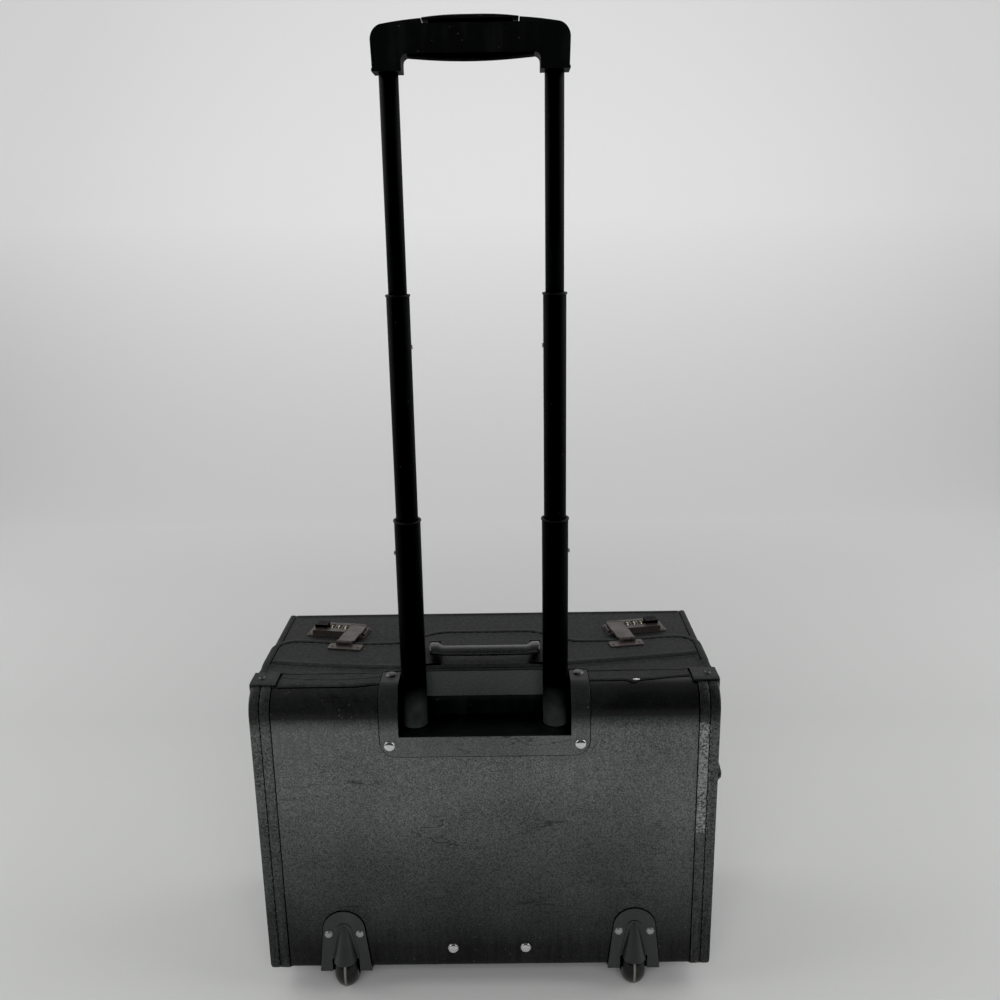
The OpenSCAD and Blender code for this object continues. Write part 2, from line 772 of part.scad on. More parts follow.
// Section of the release button's cap, with rounded upper edges.
module cap_section() {
  r = 5;
  top = grip_top + 0.8;
  difference() {
    translate([tube_y - button_w / 2, grip_top - button_cap]) square([button_w, button_cap + 0.8]);
    corner_cut([tube_y - button_w / 2, top], r, 270);
    corner_cut([tube_y + button_w / 2, top], r, 180);
  }
}

// Release button: a wide domed cap over the cut-out, with a hollow stem in the grip's slot.
module release_button() color(black_plastic) placed() {
  r = 300;
  difference() {
    union() {
      intersection() {
        across(button_l) cap_section();
        through(tube_y - button_w, tube_y + button_w)
          translate([0, grip_top + 0.8 - r]) circle(r, $fn = 360);
      }
      translate([0, tube_y, grip_top - 5.5]) rounded_box([stem_l, stem_w, 7], 3.6);
    }
    translate([0, tube_y, grip_top - 5.5]) cube([stem_l - 8, stem_w - 3.4, 8], center = true);
  }
}

// Cross link under the button and the two rods that run down inside the top tubes.
module release_rods() color(chrome) placed() {
  z = bar_z + 10.5 + button_travel;
  translate([0, tube_y, z + 1.5]) cube([tube_span + 6, 6, 3], center = true);
  translate([0, tube_y, z + 3])
    linear_extrude(grip_top - 1.5 - z - 3) square([8, 4], center = true);
  at_tubes() translate([0, 0, mid_top - overlap_l + 6])
    cylinder(d = rod_d, h = z - mid_top + overlap_l - 5);
}

// The two part top.

// Reach of the flap from the back face at a distance x from the middle.
function blend(t) = t * t * (3 - 2 * t);
function reach(x) =
  let (a = abs(x), t0 = 46, t1 = dip_x - 10, e0 = dip_x + 14, e1 = half_w - flap_r)
  a < t0 ? tongue_y
  : a < t1 ? tongue_y + (dip_y - tongue_y) * blend((a - t0) / (t1 - t0))
  : a < e0 ? dip_y
  : a < e1 ? dip_y + (ear_y - dip_y) * blend((a - e0) / (e1 - e0))
  : ear_y;

// Outline of the flap, drawn in inset by a margin along its free edges.
module flap_outline(inset = 0) {
  edge = half_w - flap_r;
  step = edge / 24;
  translate([-half_w + inset, crease_y])
    square([2 * (half_w - inset), ear_y - flap_r - crease_y]);
  for (s = [-1, 1]) translate([s * edge, ear_y - flap_r]) circle(flap_r - inset);
  polygon(concat([[-edge, crease_y]], [for (i = [-24 : 24]) [i * step, reach(i * step) - inset]],
                 [[edge, crease_y]]));
}

module rear_flap() color(black_leather) placed() difference() {
  union() {
    translate([0, 0, flap_z]) linear_extrude(flap_t) flap_outline();
    translate([-half_w + wall + 1, crease_y, case_h - wall + gap])
      cube([2 * (half_w - wall - 1), lid_back_y - crease_y - 1, wall]);
  }
  at_carry_rivets() shank_hole();
  for (s = [-1, 1]) at_lock(s) at_hasp_rivets() shank_hole();
}

// Raised bead along the free edges of the flap.
module flap_bead() color(black_leather) placed()
  translate([0, 0, flap_top]) linear_extrude(bead_h) difference() {
    flap_outline();
    difference() {
      flap_outline(bead_w);
      translate([-case_w, crease_y - 1]) square([2 * case_w, 1]);
    }
    translate([-case_w / 2, crease_y - 5]) square([case_w, 7]);
  }

module front_lid() color(black_leather) placed() difference() {
  union() {
    translate([-half_w, lid_back_y, case_h - lid_t])
      cube([shell_w, case_d - gap - lid_back_y, lid_t]);
    for (s = [-1, 1])
      translate([s * (half_w - bead_w / 2), (ear_y + case_d) / 2 + 1.5, case_h + bead_h / 2 - eps])
        cube([bead_w, case_d - ear_y - 4, bead_h], center = true);
  }
  for (s = [-1, 1]) at_lock(s) {
    translate([0, 1, -5]) cube([lock_tub_l + 2 * gap, lock_tub_w + 2 * gap, 14], center = true);
    at_lock_rivets() shank_hole();
  }
}

// The carry handle and its brackets on the flap.

module at_carry_rivets() {
  for (s = [-1, 1], t = [0, 1])
    translate([s * (bracket_x + bracket_w / 2 - 5.5), bracket_y + (t - 0.5) * bracket_l * 0.6,
               flap_top + bracket_t]) children();
}

// Two plates on the flap, each with a pair of ears and its pivot pin.
module carry_brackets() color(black_plastic) placed() {
  inner = carry_l / 2 - carry_eye_w - 2 * carry_ear_t - 2 * gap;
  outer = carry_l / 2 - carry_ear_t;
  for (s = [-1, 1]) {
    difference() {
      translate([s * bracket_x, bracket_y, flap_top + bracket_t / 2])
        rounded_box([bracket_w, bracket_l, bracket_t], 3);
      at_carry_rivets() shank_hole();
    }
    for (x = [inner, outer])
      translate([s * (x + carry_ear_t / 2), 0, 0]) across(carry_ear_t) union() {
        translate([carry_y, carry_pivot_z]) circle(carry_eye_r);
        translate([carry_y - carry_eye_r, flap_top + bracket_t - 0.1])
          square([2 * carry_eye_r, carry_z - bracket_t + 0.1]);
      }
    translate([s * (outer + carry_ear_t + inner) / 2, carry_y, carry_pivot_z]) rotate([0, 90, 0])
      cylinder(d = carry_pin_d, h = outer - inner, center = true);
  }
  at_carry_rivets() rivet(6, 1, 2.6);
}

// Section of the carry handle's bar: a flat oval.
module bar_section() {
  for (s = [-1, 1]) translate([bar_y + s * (carry_w - bar_d) / 2, bar_top - bar_d / 2])
    circle(d = bar_d);
  translate([bar_y - (carry_w - bar_d) / 2, bar_top - bar_d]) square([carry_w - bar_d, bar_d]);
}

// Section of an end block, which rises behind the bar and rounds down to its arm.
module block_section() {
  top = bar_top + carry_block_h;
  low = bar_top - carry_t;
  polygon([[bar_y - carry_w / 2 + 1, low + 2], [bar_y - carry_w / 2 + 1, bar_top - 3],
           [bar_y - 3, top - 1], [bar_y, top], [bar_y + 9, top], [bar_y + 12, top - 2],
           [bar_y + 13, top - 5], [bar_y + 13, low + 1], [bar_y - carry_w / 2 + 4, low]]);
}

// Moulded bar that hangs lower in the middle, with a block and an eyed arm at each end.
module carry_handle() color(black_plastic) placed() difference() {
  end = carry_l / 2;
  swell_r = pow(end, 2) / (2 * carry_swell);
  union() {
    intersection() {
      across(carry_l) bar_section();
      through(bar_y - carry_w, bar_y + carry_w)
        translate([0, bar_top - bar_d + swell_r]) circle(swell_r, $fn = 720);
    }
    for (s = [-1, 1]) {
      across(carry_block_w, s * (end - carry_block_w / 2)) block_section();
      across(carry_eye_w, s * (end - carry_ear_t - gap - carry_eye_w / 2)) union() {
        translate([carry_y, carry_pivot_z]) circle(carry_eye_r);
        polygon([[bar_y + 9, bar_top - carry_t + 1], [bar_y + 9, bar_top],
                 [carry_y + 1, carry_pivot_z + carry_eye_r - 0.2],
                 [carry_y + 1, carry_pivot_z - carry_eye_r + 0.2]]);
      }
    }
  }
  for (s = [-1, 1]) translate([s * end, carry_y, carry_pivot_z]) rotate([0, 90, 0])
    cylinder(d = carry_pin_d + 0.4, h = 4 * carry_eye_w, center = true);
}

// The combination locks, drawn once for the right side.

module at_lock_rivets() {
  for (x = [-1, 1], y = [-1, 1])
    translate([x * (lock_l / 2 - 2.6), y * (lock_w / 2 - 2.8), 1.2]) children();
}

module at_hasp_rivets() {
  for (t = [-1, 1])
    translate([hasp_base_x + t * (hasp_base_l / 2 - 4), -hasp_pivot_v - hasp_rivet_v,
               flap_top - case_h + 1.4]) children();
}

module lock_body(side) color(gunmetal) placed() at_lock(side) {
  difference() {
    union() {
      translate([0, 0, 0.6]) rounded_box([lock_l, lock_w, 1.2], 3);
      intersection() {
        translate([0, 0, lock_h / 2]) rounded_box([lock_l - 9, lock_w - 4, lock_h], 2.5);
        through(-20, 20) polygon([[-lock_l / 2 + 4.5, 0], [lock_l / 2 - 4.5, 0],
          [lock_l / 2 - 4.5, lock_h - 1.6], [lock_l / 2 - 6.5, lock_h],
          [-lock_l / 2 + 6.5, lock_h], [-lock_l / 2 + 4.5, lock_h - 1.6]]);
      }
      translate([0, 1, -1.7])
        cube([lock_tub_l, lock_tub_w, 3.5], center = true);
    }
    for (i = [-1 : 1])
      translate([i * dial_pitch, 1, 0]) cube([dial_w + 0.8, 2 * dial_r + 1.2, 30], center = true);
    translate([hasp_x - hasp_w / 2 - 0.4, -lock_w, lock_h - hasp_t - 0.4])
      cube([hasp_w + 0.8, lock_w + hasp_tip + 0.8, 10]);
    translate([hasp_x, hasp_catch_y, lock_h - 2]) cube([8.6, 5.8, 4.4], center = true);
    translate([slider_u, 1, lock_h])
      cube([slider_l + 2 * slider_travel + 1, 6.6, 5], center = true);
    at_lock_rivets() shank_hole();
  }
  translate([-lock_l / 2 + 2, 0, 2.2]) cube([2.4, lock_w - 10, 3.2], center = true);
  at_lock_rivets() rivet(3.6, 0.7, 3.4);
  dial_pin();
}

// Thin shaft through the three dials.
module dial_pin() {
  translate([0, 1, dial_axis_z - case_h]) rotate([0, 90, 0])
    cylinder(d = 1.6, h = dial_pitch * 2 + dial_w + 2, center = true, $fn = 24);
}

module lock_body_left() { lock_body(-1); }
module lock_body_right() { lock_body(1); }

// Push knob that frees the hasp: scooped on its near side, with its stem in the housing slot.
module lock_slider(side) color(black_plastic) placed() at_lock(side)
  translate([slider_u, 1, 0]) {
    difference() {
      translate([0, 0, lock_h + gap + slider_h / 2]) rounded_box([slider_l, slider_w, slider_h], 1.5);
      translate([0, -slider_w / 2 - 5.5, lock_h]) cylinder(r = 8.5, h = slider_h - 0.6);
    }
    for (k = [-2 : 2]) translate([k * 2.2, 1.5, lock_h + gap + slider_h]) cube([0.8, 8, 0.6], center = true);
    translate([0, 0, lock_h - 0.8]) cube([slider_l - 1, 5.8, 2.6], center = true);
  }

module lock_slider_left() { lock_slider(-1); }
module lock_slider_right() { lock_slider(1); }

// Number dial: a ring with ten shallow flats round its rim.
module dial(side, i) color(brass) placed() at_lock(side)
  translate([i * dial_pitch, 1, dial_axis_z - case_h]) rotate([0, 90, 0]) difference() {
    cylinder(r = dial_r, h = dial_w, center = true, $fn = 60);
    cylinder(d = 2, h = 20, center = true, $fn = 24);
    for (k = [0 : 9]) rotate(k * 36) translate([dial_r + 0.55, 0, 0])
      cylinder(r = 0.8, h = 20, center = true, $fn = 16);
  }

module dial_left_1() { dial(-1, 1); }
module dial_left_2() { dial(-1, 0); }
module dial_left_3() { dial(-1, -1); }
module dial_right_1() { dial(1, 1); }
module dial_right_2() { dial(1, 0); }
module dial_right_3() { dial(1, -1); }

// Base plates of the hasps on the flap, with their outer hinge knuckles and pins.
module hasp_bases() color(gunmetal) placed() for (s = [-1, 1]) at_lock(s) {
  z = flap_top - case_h;
  pz = hasp_pivot_z - case_h;
  difference() {
    union() {
      translate([hasp_base_x, -hasp_pivot_v - hasp_base_w / 2 + 1.5, z + 0.7])
        rounded_box([hasp_base_l, hasp_base_w, 1.4], 2);
      for (t = [-1, 1]) translate([hasp_x + t * (hasp_w / 2 - 2.4), 0, 0])
        across(4) translate([-hasp_pivot_v, pz]) union() {
          circle(hasp_barrel_r, $fn = 40);
          translate([-hasp_barrel_r, -hasp_barrel_r - 0.1]) square([2 * hasp_barrel_r, hasp_barrel_r]);
        }
      translate([hasp_x, -hasp_pivot_v, pz]) rotate([0, 90, 0])
        cylinder(d = 1.8, h = hasp_w - 2, center = true, $fn = 24);
    }
    at_hasp_rivets() shank_hole();
  }
  at_hasp_rivets() rivet(4.6, 0.9, 3);
}

// Hasp: middle knuckle, a bridge up to the housing, a flat tongue and its catch.
module hasp(side) color(gunmetal) placed() at_lock(side) {
  pz = hasp_pivot_z - case_h;
  top = lock_h;
  difference() {
    union() {
      translate([hasp_x, -hasp_pivot_v, pz]) rotate([0, 90, 0])
        cylinder(r = hasp_barrel_r, h = hasp_w - 9.6, center = true, $fn = 40);
      across(hasp_w - 9.6, hasp_x) polygon([[-hasp_pivot_v, pz + hasp_barrel_r - 1.6],
        [-hasp_pivot_v + 5, top + 1.2 - hasp_t], [-hasp_pivot_v + 5, top + 1.2],
        [-hasp_pivot_v, pz + hasp_barrel_r]]);
      across(hasp_w, hasp_x) polygon([[-hasp_pivot_v + 5, top + 1.2 - hasp_t],
        [-lock_w / 2 - 3.5, top + 1.2 - hasp_t], [-lock_w / 2 - 0.5, top - hasp_t],
        [-lock_w / 2 + 0.4, top - hasp_t], [hasp_tip - 0.8, top - hasp_t], [hasp_tip, top - 0.8],
        [hasp_tip - 0.4, top],
        [-lock_w / 2 + 0.4, top], [-lock_w / 2 - 2.6, top + 1.2], [-hasp_pivot_v + 5, top + 1.2]]);
      translate([hasp_x, hasp_catch_y, top - hasp_t]) cube([6.6, 3.4, 3.2], center = true);
    }
    translate([hasp_x, -hasp_pivot_v, pz]) rotate([0, 90, 0])
      cylinder(d = 2.2, h = 60, center = true, $fn = 24);
  }
}

module hasp_left() { hasp(-1); }
module hasp_right() { hasp(1); }

// Wheels, their housings and the front feet.

// Arched plate outline of a wheel housing.
module housing_outline() {
  r = housing_top_w / 2;
  translate([0, housing_h - r]) circle(r);
  polygon([[-housing_low_w / 2, 0.5], [housing_low_w / 2, 0.5],
           [r, housing_h - r], [-r, housing_h - r]]);
}

// Hood that narrows upwards; grow moves its surface outwards.
module hood(grow) {
  hull() {
    translate([0, -hood_out + 12, hood_lip_z]) cylinder(r = 12 + grow, h = 1, $fn = 40);
    translate([0, 2 - grow, hood_top_z - 4 + grow]) cylinder(r = 4 + grow, h = 1, $fn = 40);
    translate([0, 12, hood_lip_z]) cylinder(r = 12 + grow, h = 1, $fn = 32);
  }
}

// Outline round the hood's foot, with arched top, at a distance from it.
module hood_rim(out) {
  top = hood_top_z - 8;
  r = 5 + out;
  translate([0, top]) circle(r);
  polygon([[-12 - out, hood_lip_z - 2], [12 + out, hood_lip_z - 2], [r, top], [-r, top]]);
}

// Housing: riveted plate, bulging hood with a raised line round it, a closed bay and two ears.
module wheel_housing(side) color(black_plastic) placed() translate([side * wheel_x, 0, 0])
  difference() {
    union() {
      through(-housing_t, 0) housing_outline();
      through(-housing_t - rim_h, -housing_t + eps) difference() {
        hood_rim(rim_out);
        hood_rim(rim_out - 1.2);
        translate([-40, 0]) square([80, hood_lip_z]);
      }
      intersection() {
        hood(0);
        translate([-30, -40, 0]) cube([60, 40, 100]);
      }
      translate([-bay_x - housing_t, 0, 0])
        cube([2 * (bay_x + housing_t), bay_y + housing_t, bay_z + housing_t]);
      translate([0, bay_y / 2 + 6, -0.9]) rounded_box([housing_low_w, bay_y + 8, 1.8], 6);
      for (s = [-1, 1]) across(ear_t, s * (bay_x + ear_t / 2)) {
        translate([wheel_y, wheel_z]) circle(8);
        translate([wheel_y - 8, wheel_z]) square([16, 7.5]);
      }
    }
    difference() {
      hood(-housing_t);
      translate([-30, 0, 0]) cube([60, 60, 100]);
      translate([-30, -1, hood_lip_z + 20]) cube([60, 3, 60]);
    }
    translate([-bay_x, -housing_t - 1, -20]) cube([2 * bay_x, bay_y + housing_t + 1, 20 + hood_lip_z]);
    translate([-bay_x, 0, -20]) cube([2 * bay_x, bay_y, 20 + bay_z]);
    translate([0, wheel_y, wheel_z]) rotate([0, 90, 0]) cylinder(d = axle_d, h = 60, center = true);
    for (t = [-1, 1]) translate([t * (bay_x + ear_t + axle_head_t / 2 + 0.2), wheel_y, wheel_z])
      rotate([0, 90, 0]) cylinder(d = axle_d + 3.2, h = axle_head_t + 0.4, center = true);
    for (t = [-1, 1]) translate([t * (housing_top_w / 2 - housing_rivet_in), 0, housing_rivet_z])
      rotate([90, 0, 0]) cylinder(d = shank_d + 0.4, h = 12, center = true);
  }

module wheel_housing_left() { wheel_housing(-1); }
module wheel_housing_right() { wheel_housing(1); }
module housing_rivets() color(chrome) placed() at_housing_rivets() rivet(8.5, 1.6);

// Wheel with a round tread, a parting groove and a bored hub.
module wheel(side) color(black_plastic) placed() translate([side * wheel_x, wheel_y, wheel_z])
  rotate([0, 90, 0]) rotate_extrude() {
    flank = wheel_r - wheel_w / 2;
    difference() {
      union() {
        translate([axle_d / 2 + 0.1, -wheel_w / 2]) square([flank - axle_d / 2 - 0.1, wheel_w]);
        intersection() {
          translate([flank, 0]) circle(d = wheel_w);
          translate([flank - eps, -wheel_w]) square([wheel_w, 2 * wheel_w]);
        }
      }
      for (s = [-1, 1]) translate([axle_d / 2 + 2.5, s * wheel_w / 2])
        square([flank - axle_d / 2 - 3.5, 3], center = false);
      translate([wheel_r - 0.4, -0.4]) square([2, 0.8]);
    }
  }

module wheel_left() { wheel(-1); }
module wheel_right() { wheel(1); }
module wheel_axles() color(chrome) placed() for (s = [-1, 1])
  translate([s * wheel_x, wheel_y, wheel_z]) rotate([0, 90, 0]) {
    cylinder(d = axle_d - 0.04, h = 2 * (bay_x + ear_t) + eps, center = true);
    for (t = [-1, 1]) translate([0, 0, t * (bay_x + ear_t + axle_head_t / 2)])
      cylinder(d = axle_d + 2.5, h = axle_head_t, center = true);
  }

// Tapered studs under the front, each with a collar and a screw shank.
module front_feet() color(black_plastic) placed() for (s = [-1, 1])
  translate([s * wheel_x, foot_y, 0]) {
    translate([0, 0, -ride_h]) rotate_extrude() union() {
      polygon([[0, 0], [foot_d / 2 - 3.5, 0], [foot_d / 2 - 1.5, 2], [foot_d / 2 - 1, 5],
               [foot_d / 2, ride_h - 3], [foot_d / 2, ride_h], [0, ride_h]]);
      translate([0, ride_h - eps]) square([2, wall - 0.2]);
    }
  }

shell_wrap();
side_panel_left();
side_panel_right();
edge_binding_left();
edge_binding_right();
partition_board();
lining();
handle_tray();
recess_trim();
chrome_rivets();
corner_tab_left();
corner_tab_right();
corner_tab_rivets();
hinge_band();
end_tab();
channel_left();
channel_right();
lower_bracket();
low_tube_left();
low_tube_right();
low_collars();
mid_tube_left();
mid_tube_right();
mid_collars();
top_tube_left();
top_tube_right();
low_pin_left();
low_pin_right();
mid_pin_left();
mid_pin_right();
pull_grip();
release_button();
release_rods();
rear_flap();
flap_bead();
carry_brackets();
carry_handle();
front_lid();
hasp_bases();
hasp_left();
hasp_right();
lock_body_left();
lock_body_right();
lock_slider_left();
lock_slider_right();
dial_left_1();
dial_left_2();
dial_left_3();
dial_right_1();
dial_right_2();
dial_right_3();
wheel_housing_left();
wheel_housing_right();
housing_rivets();
wheel_left();
wheel_right();
wheel_axles();
front_feet();
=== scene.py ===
"""Dresses the rolling briefcase: leather, stitching, locks, pull handle, wheels and studio."""

import json
import math
import random

import bmesh
import bpy
import numpy as np
from mathutils import Matrix, Vector
from mathutils.bvhtree import BVHTree

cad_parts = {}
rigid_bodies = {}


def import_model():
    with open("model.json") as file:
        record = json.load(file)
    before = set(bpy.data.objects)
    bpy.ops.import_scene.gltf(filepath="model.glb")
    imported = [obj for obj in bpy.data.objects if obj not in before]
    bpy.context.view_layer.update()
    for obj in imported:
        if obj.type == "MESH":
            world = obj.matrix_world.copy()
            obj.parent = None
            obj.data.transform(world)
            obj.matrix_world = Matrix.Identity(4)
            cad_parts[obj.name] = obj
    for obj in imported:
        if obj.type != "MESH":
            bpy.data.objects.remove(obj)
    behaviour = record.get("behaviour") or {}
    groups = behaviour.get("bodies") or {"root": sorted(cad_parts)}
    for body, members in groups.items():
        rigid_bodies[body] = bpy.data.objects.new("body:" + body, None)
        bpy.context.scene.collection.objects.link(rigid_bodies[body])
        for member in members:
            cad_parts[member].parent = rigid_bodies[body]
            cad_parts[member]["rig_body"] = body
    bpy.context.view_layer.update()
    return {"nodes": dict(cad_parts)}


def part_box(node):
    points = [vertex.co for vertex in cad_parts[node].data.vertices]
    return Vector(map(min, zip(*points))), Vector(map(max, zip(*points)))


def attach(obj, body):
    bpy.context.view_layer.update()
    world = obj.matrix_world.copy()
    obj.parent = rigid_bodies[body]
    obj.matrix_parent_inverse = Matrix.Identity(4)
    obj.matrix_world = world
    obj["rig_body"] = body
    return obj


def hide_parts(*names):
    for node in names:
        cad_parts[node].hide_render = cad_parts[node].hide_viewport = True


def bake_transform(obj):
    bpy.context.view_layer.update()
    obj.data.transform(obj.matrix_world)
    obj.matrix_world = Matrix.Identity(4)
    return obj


bl_info = {
    "name": "Rolling Briefcase",
    "version": (1, 0, 0),
    "blender": (4, 5, 0),
    "location": "View3D > Sidebar > Briefcase",
    "description": "Builds a leather covered rolling briefcase piece by piece",
    "category": "Add Mesh",
}

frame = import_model()

MM = 0.001
UP, BACKWARDS = Vector((0, 0, 1)), Vector((0, -1, 0))
SIDES = (("left", -1), ("right", 1))
SHELL_LOW, SHELL_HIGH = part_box("shell_wrap")
BACK = SHELL_LOW.y
BASE = SHELL_LOW.z

# The case itself, in millimetres: half its width, its depth, its height and its round edges
HALF = SHELL_HIGH.x / MM
DEPTH = (SHELL_HIGH.y - SHELL_LOW.y) / MM
TOP = (SHELL_HIGH.z - SHELL_LOW.z) / MM
TOP_RADIUS = 24.0
LOW_RADIUS = 11.0
TAB_FRONT = (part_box("corner_tab_left")[1].y - BACK) / MM
BAND_BACK = (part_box("hinge_band")[0].y - BACK) / MM
BOARD_UNDER = 4.7  # how far the boards of the lid and the flap reach under the top

# The flap's outline, in millimetres from the middle and from the back, and its thickness
TONGUE_FRONT, TONGUE_HALF = 144.0, 46.0
DIP_FRONT, DIP_START, DIP_END = 115.0, 102.0, 126.0
EAR_DEPTH, EAR_RADIUS = 100.0, 24.0
CREASE_DEPTH = 51.0
FLAP_SEAT, FLAP_THICK = 0.3, 3.5

# The rivets of the case and how the locks lean, in degrees
RIVET_WIDTH, RIVET_HEIGHT, PATCH_THICK = 11.0, 2.2, 1.4
LOCK_TURN = 10.0

# Pale dust on leather and on plastic
LEATHER_DUST, PLASTIC_DUST = (0.35, 0.35, 0.33), (0.3, 0.3, 0.28)


def at(x, y, z):
    """A point of the case, in millimetres from its middle, its back and its bottom, in the frame."""
    return Vector((x * MM, BACK + y * MM, BASE + z * MM))


def middle_of(node):
    """The middle of a node's box, in metres."""
    low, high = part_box(node)
    return (low + high) / 2


# Sizes and colours that a user would change


class CaseSizes(bpy.types.PropertyGroup):
    """Sizes of the stitching and the flap"""

    stitch_length: bpy.props.FloatProperty(
        name="Stitch length", description="Length of one stitch", default=0.0056, unit="LENGTH")
    stitch_pitch: bpy.props.FloatProperty(
        name="Stitch pitch", description="Distance from one stitch to the next", default=0.0085,
        unit="LENGTH")
    thread_width: bpy.props.FloatProperty(
        name="Thread width", description="Thickness of the sewing thread", default=0.0011, unit="LENGTH")
    bead_width: bpy.props.FloatProperty(
        name="Bead width", description="Width of the bound edge of the flap", default=0.0066, unit="LENGTH")
    crease_bow: bpy.props.FloatProperty(
        name="Crease bow", description="How far the flap's crease runs forward at its ends",
        default=0.021, unit="LENGTH")


class CaseColours(bpy.types.PropertyGroup):
    """Colours of the case's finishes"""

    leather: bpy.props.FloatVectorProperty(
        name="Leather", description="Colour of the leather cloth", subtype="COLOR",
        default=(0.0115, 0.0125, 0.0122), min=0.0, max=1.0)
    leather_rub: bpy.props.FloatVectorProperty(
        name="Rubbed leather", description="Colour of the leather where it is rubbed", subtype="COLOR",
        default=(0.075, 0.078, 0.077), min=0.0, max=1.0)
    plastic: bpy.props.FloatVectorProperty(
        name="Plastic", description="Colour of the moulded plastic", subtype="COLOR",
        default=(0.004, 0.0042, 0.0042), min=0.0, max=1.0)
    tube: bpy.props.FloatVectorProperty(
        name="Tube enamel", description="Colour of the handle tubes", subtype="COLOR",
        default=(0.0012, 0.0014, 0.0015), min=0.0, max=1.0)
    bronze: bpy.props.FloatVectorProperty(
        name="Lock bronze", description="Colour of the dark lock metal", subtype="COLOR",
        default=(0.085, 0.074, 0.069), min=0.0, max=1.0)
    brass: bpy.props.FloatVectorProperty(
        name="Dial brass", description="Colour of the number dials", subtype="COLOR",
        default=(0.1, 0.08, 0.05), min=0.0, max=1.0)


class StageSettings(bpy.types.PropertyGroup):
    """Light and tone of the studio"""

    overhead: bpy.props.FloatProperty(
        name="Overhead light", description="Power of the light above the case", default=5.0, unit="POWER")
    sides: bpy.props.FloatProperty(
        name="Side lights", description="Power of each light beside the case", default=22.0, unit="POWER")
    front: bpy.props.FloatProperty(
        name="Front light", description="Power of the soft light behind the camera", default=50.0,
        unit="POWER")
    floor_tone: bpy.props.FloatProperty(
        name="Floor tone", description="Brightness of the pale floor", default=0.56, min=0.0, max=1.0)
    wall_glow: bpy.props.FloatProperty(
        name="Wall glow", description="Light that the wall behind the case gives off", default=1.0,
        min=0.0, max=2.0)
    black_point: bpy.props.FloatProperty(
        name="Black point", description="Brightness that the picture shows as black", default=0.003,
        min=0.0, max=0.1)


# Node helpers


def put(tree, kind, inputs=None, **settings):
    """Adds a node; each input is a value or another node's output socket."""
    made = tree.nodes.new(kind)
    for key, value in settings.items():
        setattr(made, key, value)
    for key, value in (inputs or {}).items():
        socket = made.inputs[key]
        if isinstance(value, bpy.types.NodeSocket):
            tree.links.new(value, socket)
        else:
            socket.default_value = value
    return made


def object_space(tree):
    """Object coordinates, in metres, as a socket."""
    return put(tree, "ShaderNodeTexCoord").outputs["Object"]


def math_node(tree, operation, a, b=0.0, clamp=False):
    """One operation on sockets or numbers, as a socket."""
    return put(tree, "ShaderNodeMath", {0: a, 1: b}, operation=operation, use_clamp=clamp).outputs[0]


def times(tree, first, *others):
    """The product of sockets or numbers, as a socket."""
    for other in others:
        first = math_node(tree, "MULTIPLY", first, other)
    return first


def ramp(tree, value, low, high, to_low=0.0, to_high=1.0):
    """Carries a value from one span to another and holds it there, as a socket."""
    inputs = {"Value": value, "From Min": low, "From Max": high, "To Min": to_low, "To Max": to_high}
    return put(tree, "ShaderNodeMapRange", inputs, clamp=True).outputs["Result"]


def scaled(colour, by):
    """A colour made lighter or darker."""
    return tuple(by * v for v in colour)


def grey_of(tree, tone):
    """A grey of a tone, as a socket."""
    return put(tree, "ShaderNodeCombineColor", {0: tone, 1: tone, 2: tone}).outputs[0]


def mix_colour(tree, factor, a, b):
    """Colour a, and colour b where the factor is 1; each is a colour or a socket."""
    made = put(tree, "ShaderNodeMix", data_type="RGBA")
    for socket, value in ((made.inputs[0], factor), (made.inputs[6], a), (made.inputs[7], b)):
        if isinstance(value, bpy.types.NodeSocket):
            tree.links.new(value, socket)
        elif socket.type == "RGBA":
            socket.default_value = (*value[:3], 1.0)
        else:
            socket.default_value = value
    return made.outputs[2]


def group(name, inputs, outputs):
    """An empty shader node group with named float inputs and outputs, and its two end nodes."""
    tree = bpy.data.node_groups.new(name, "ShaderNodeTree")
    for key, value in inputs.items():
        socket = tree.interface.new_socket(key, in_out="INPUT", socket_type="NodeSocketFloat")
        socket.default_value = value
    for key in outputs:
        tree.interface.new_socket(key, in_out="OUTPUT", socket_type="NodeSocketFloat")
    return tree, tree.nodes.new("NodeGroupInput"), tree.nodes.new("NodeGroupOutput")


def place(tree, group_tree, **inputs):
    """Puts a node group in a material with its own values."""
    made = tree.nodes.new("ShaderNodeGroup")
    made.node_tree = group_tree
    for key, value in inputs.items():
        made.inputs[key.replace("_", " ")].default_value = value
    return made


def leather_grain_group():
    """Pebbled grain with fine wrinkles: a height for bumps and a tone for colour."""
    tree, start, end = group(
        "Leather grain", {"Pebbles": 900.0, "Wrinkles": 260.0, "Softness": 0.6}, ("Height", "Tone"))
    space = object_space(tree)
    warp = put(tree, "ShaderNodeTexNoise", {"Vector": space, "Scale": 300.0, "Detail": 2.0})
    bent = put(tree, "ShaderNodeMix", {0: 0.0012, 4: space, 5: warp.outputs["Color"]}, data_type="VECTOR")
    pebbles = put(tree, "ShaderNodeTexVoronoi",
                  {"Vector": bent.outputs[1], "Scale": start.outputs["Pebbles"], "Smoothness": 0.8},
                  feature="SMOOTH_F1")
    wrinkles = put(tree, "ShaderNodeTexNoise",
                   {"Vector": space, "Scale": start.outputs["Wrinkles"], "Detail": 5.0, "Roughness": 0.6})
    domes = math_node(tree, "SUBTRACT", 1.0, pebbles.outputs["Distance"])
    height = times(tree, domes, start.outputs["Softness"])
    height = math_node(tree, "ADD", height, wrinkles.outputs["Fac"])
    tree.links.new(height, end.inputs["Height"])
    tree.links.new(wrinkles.outputs["Fac"], end.inputs["Tone"])
    return tree


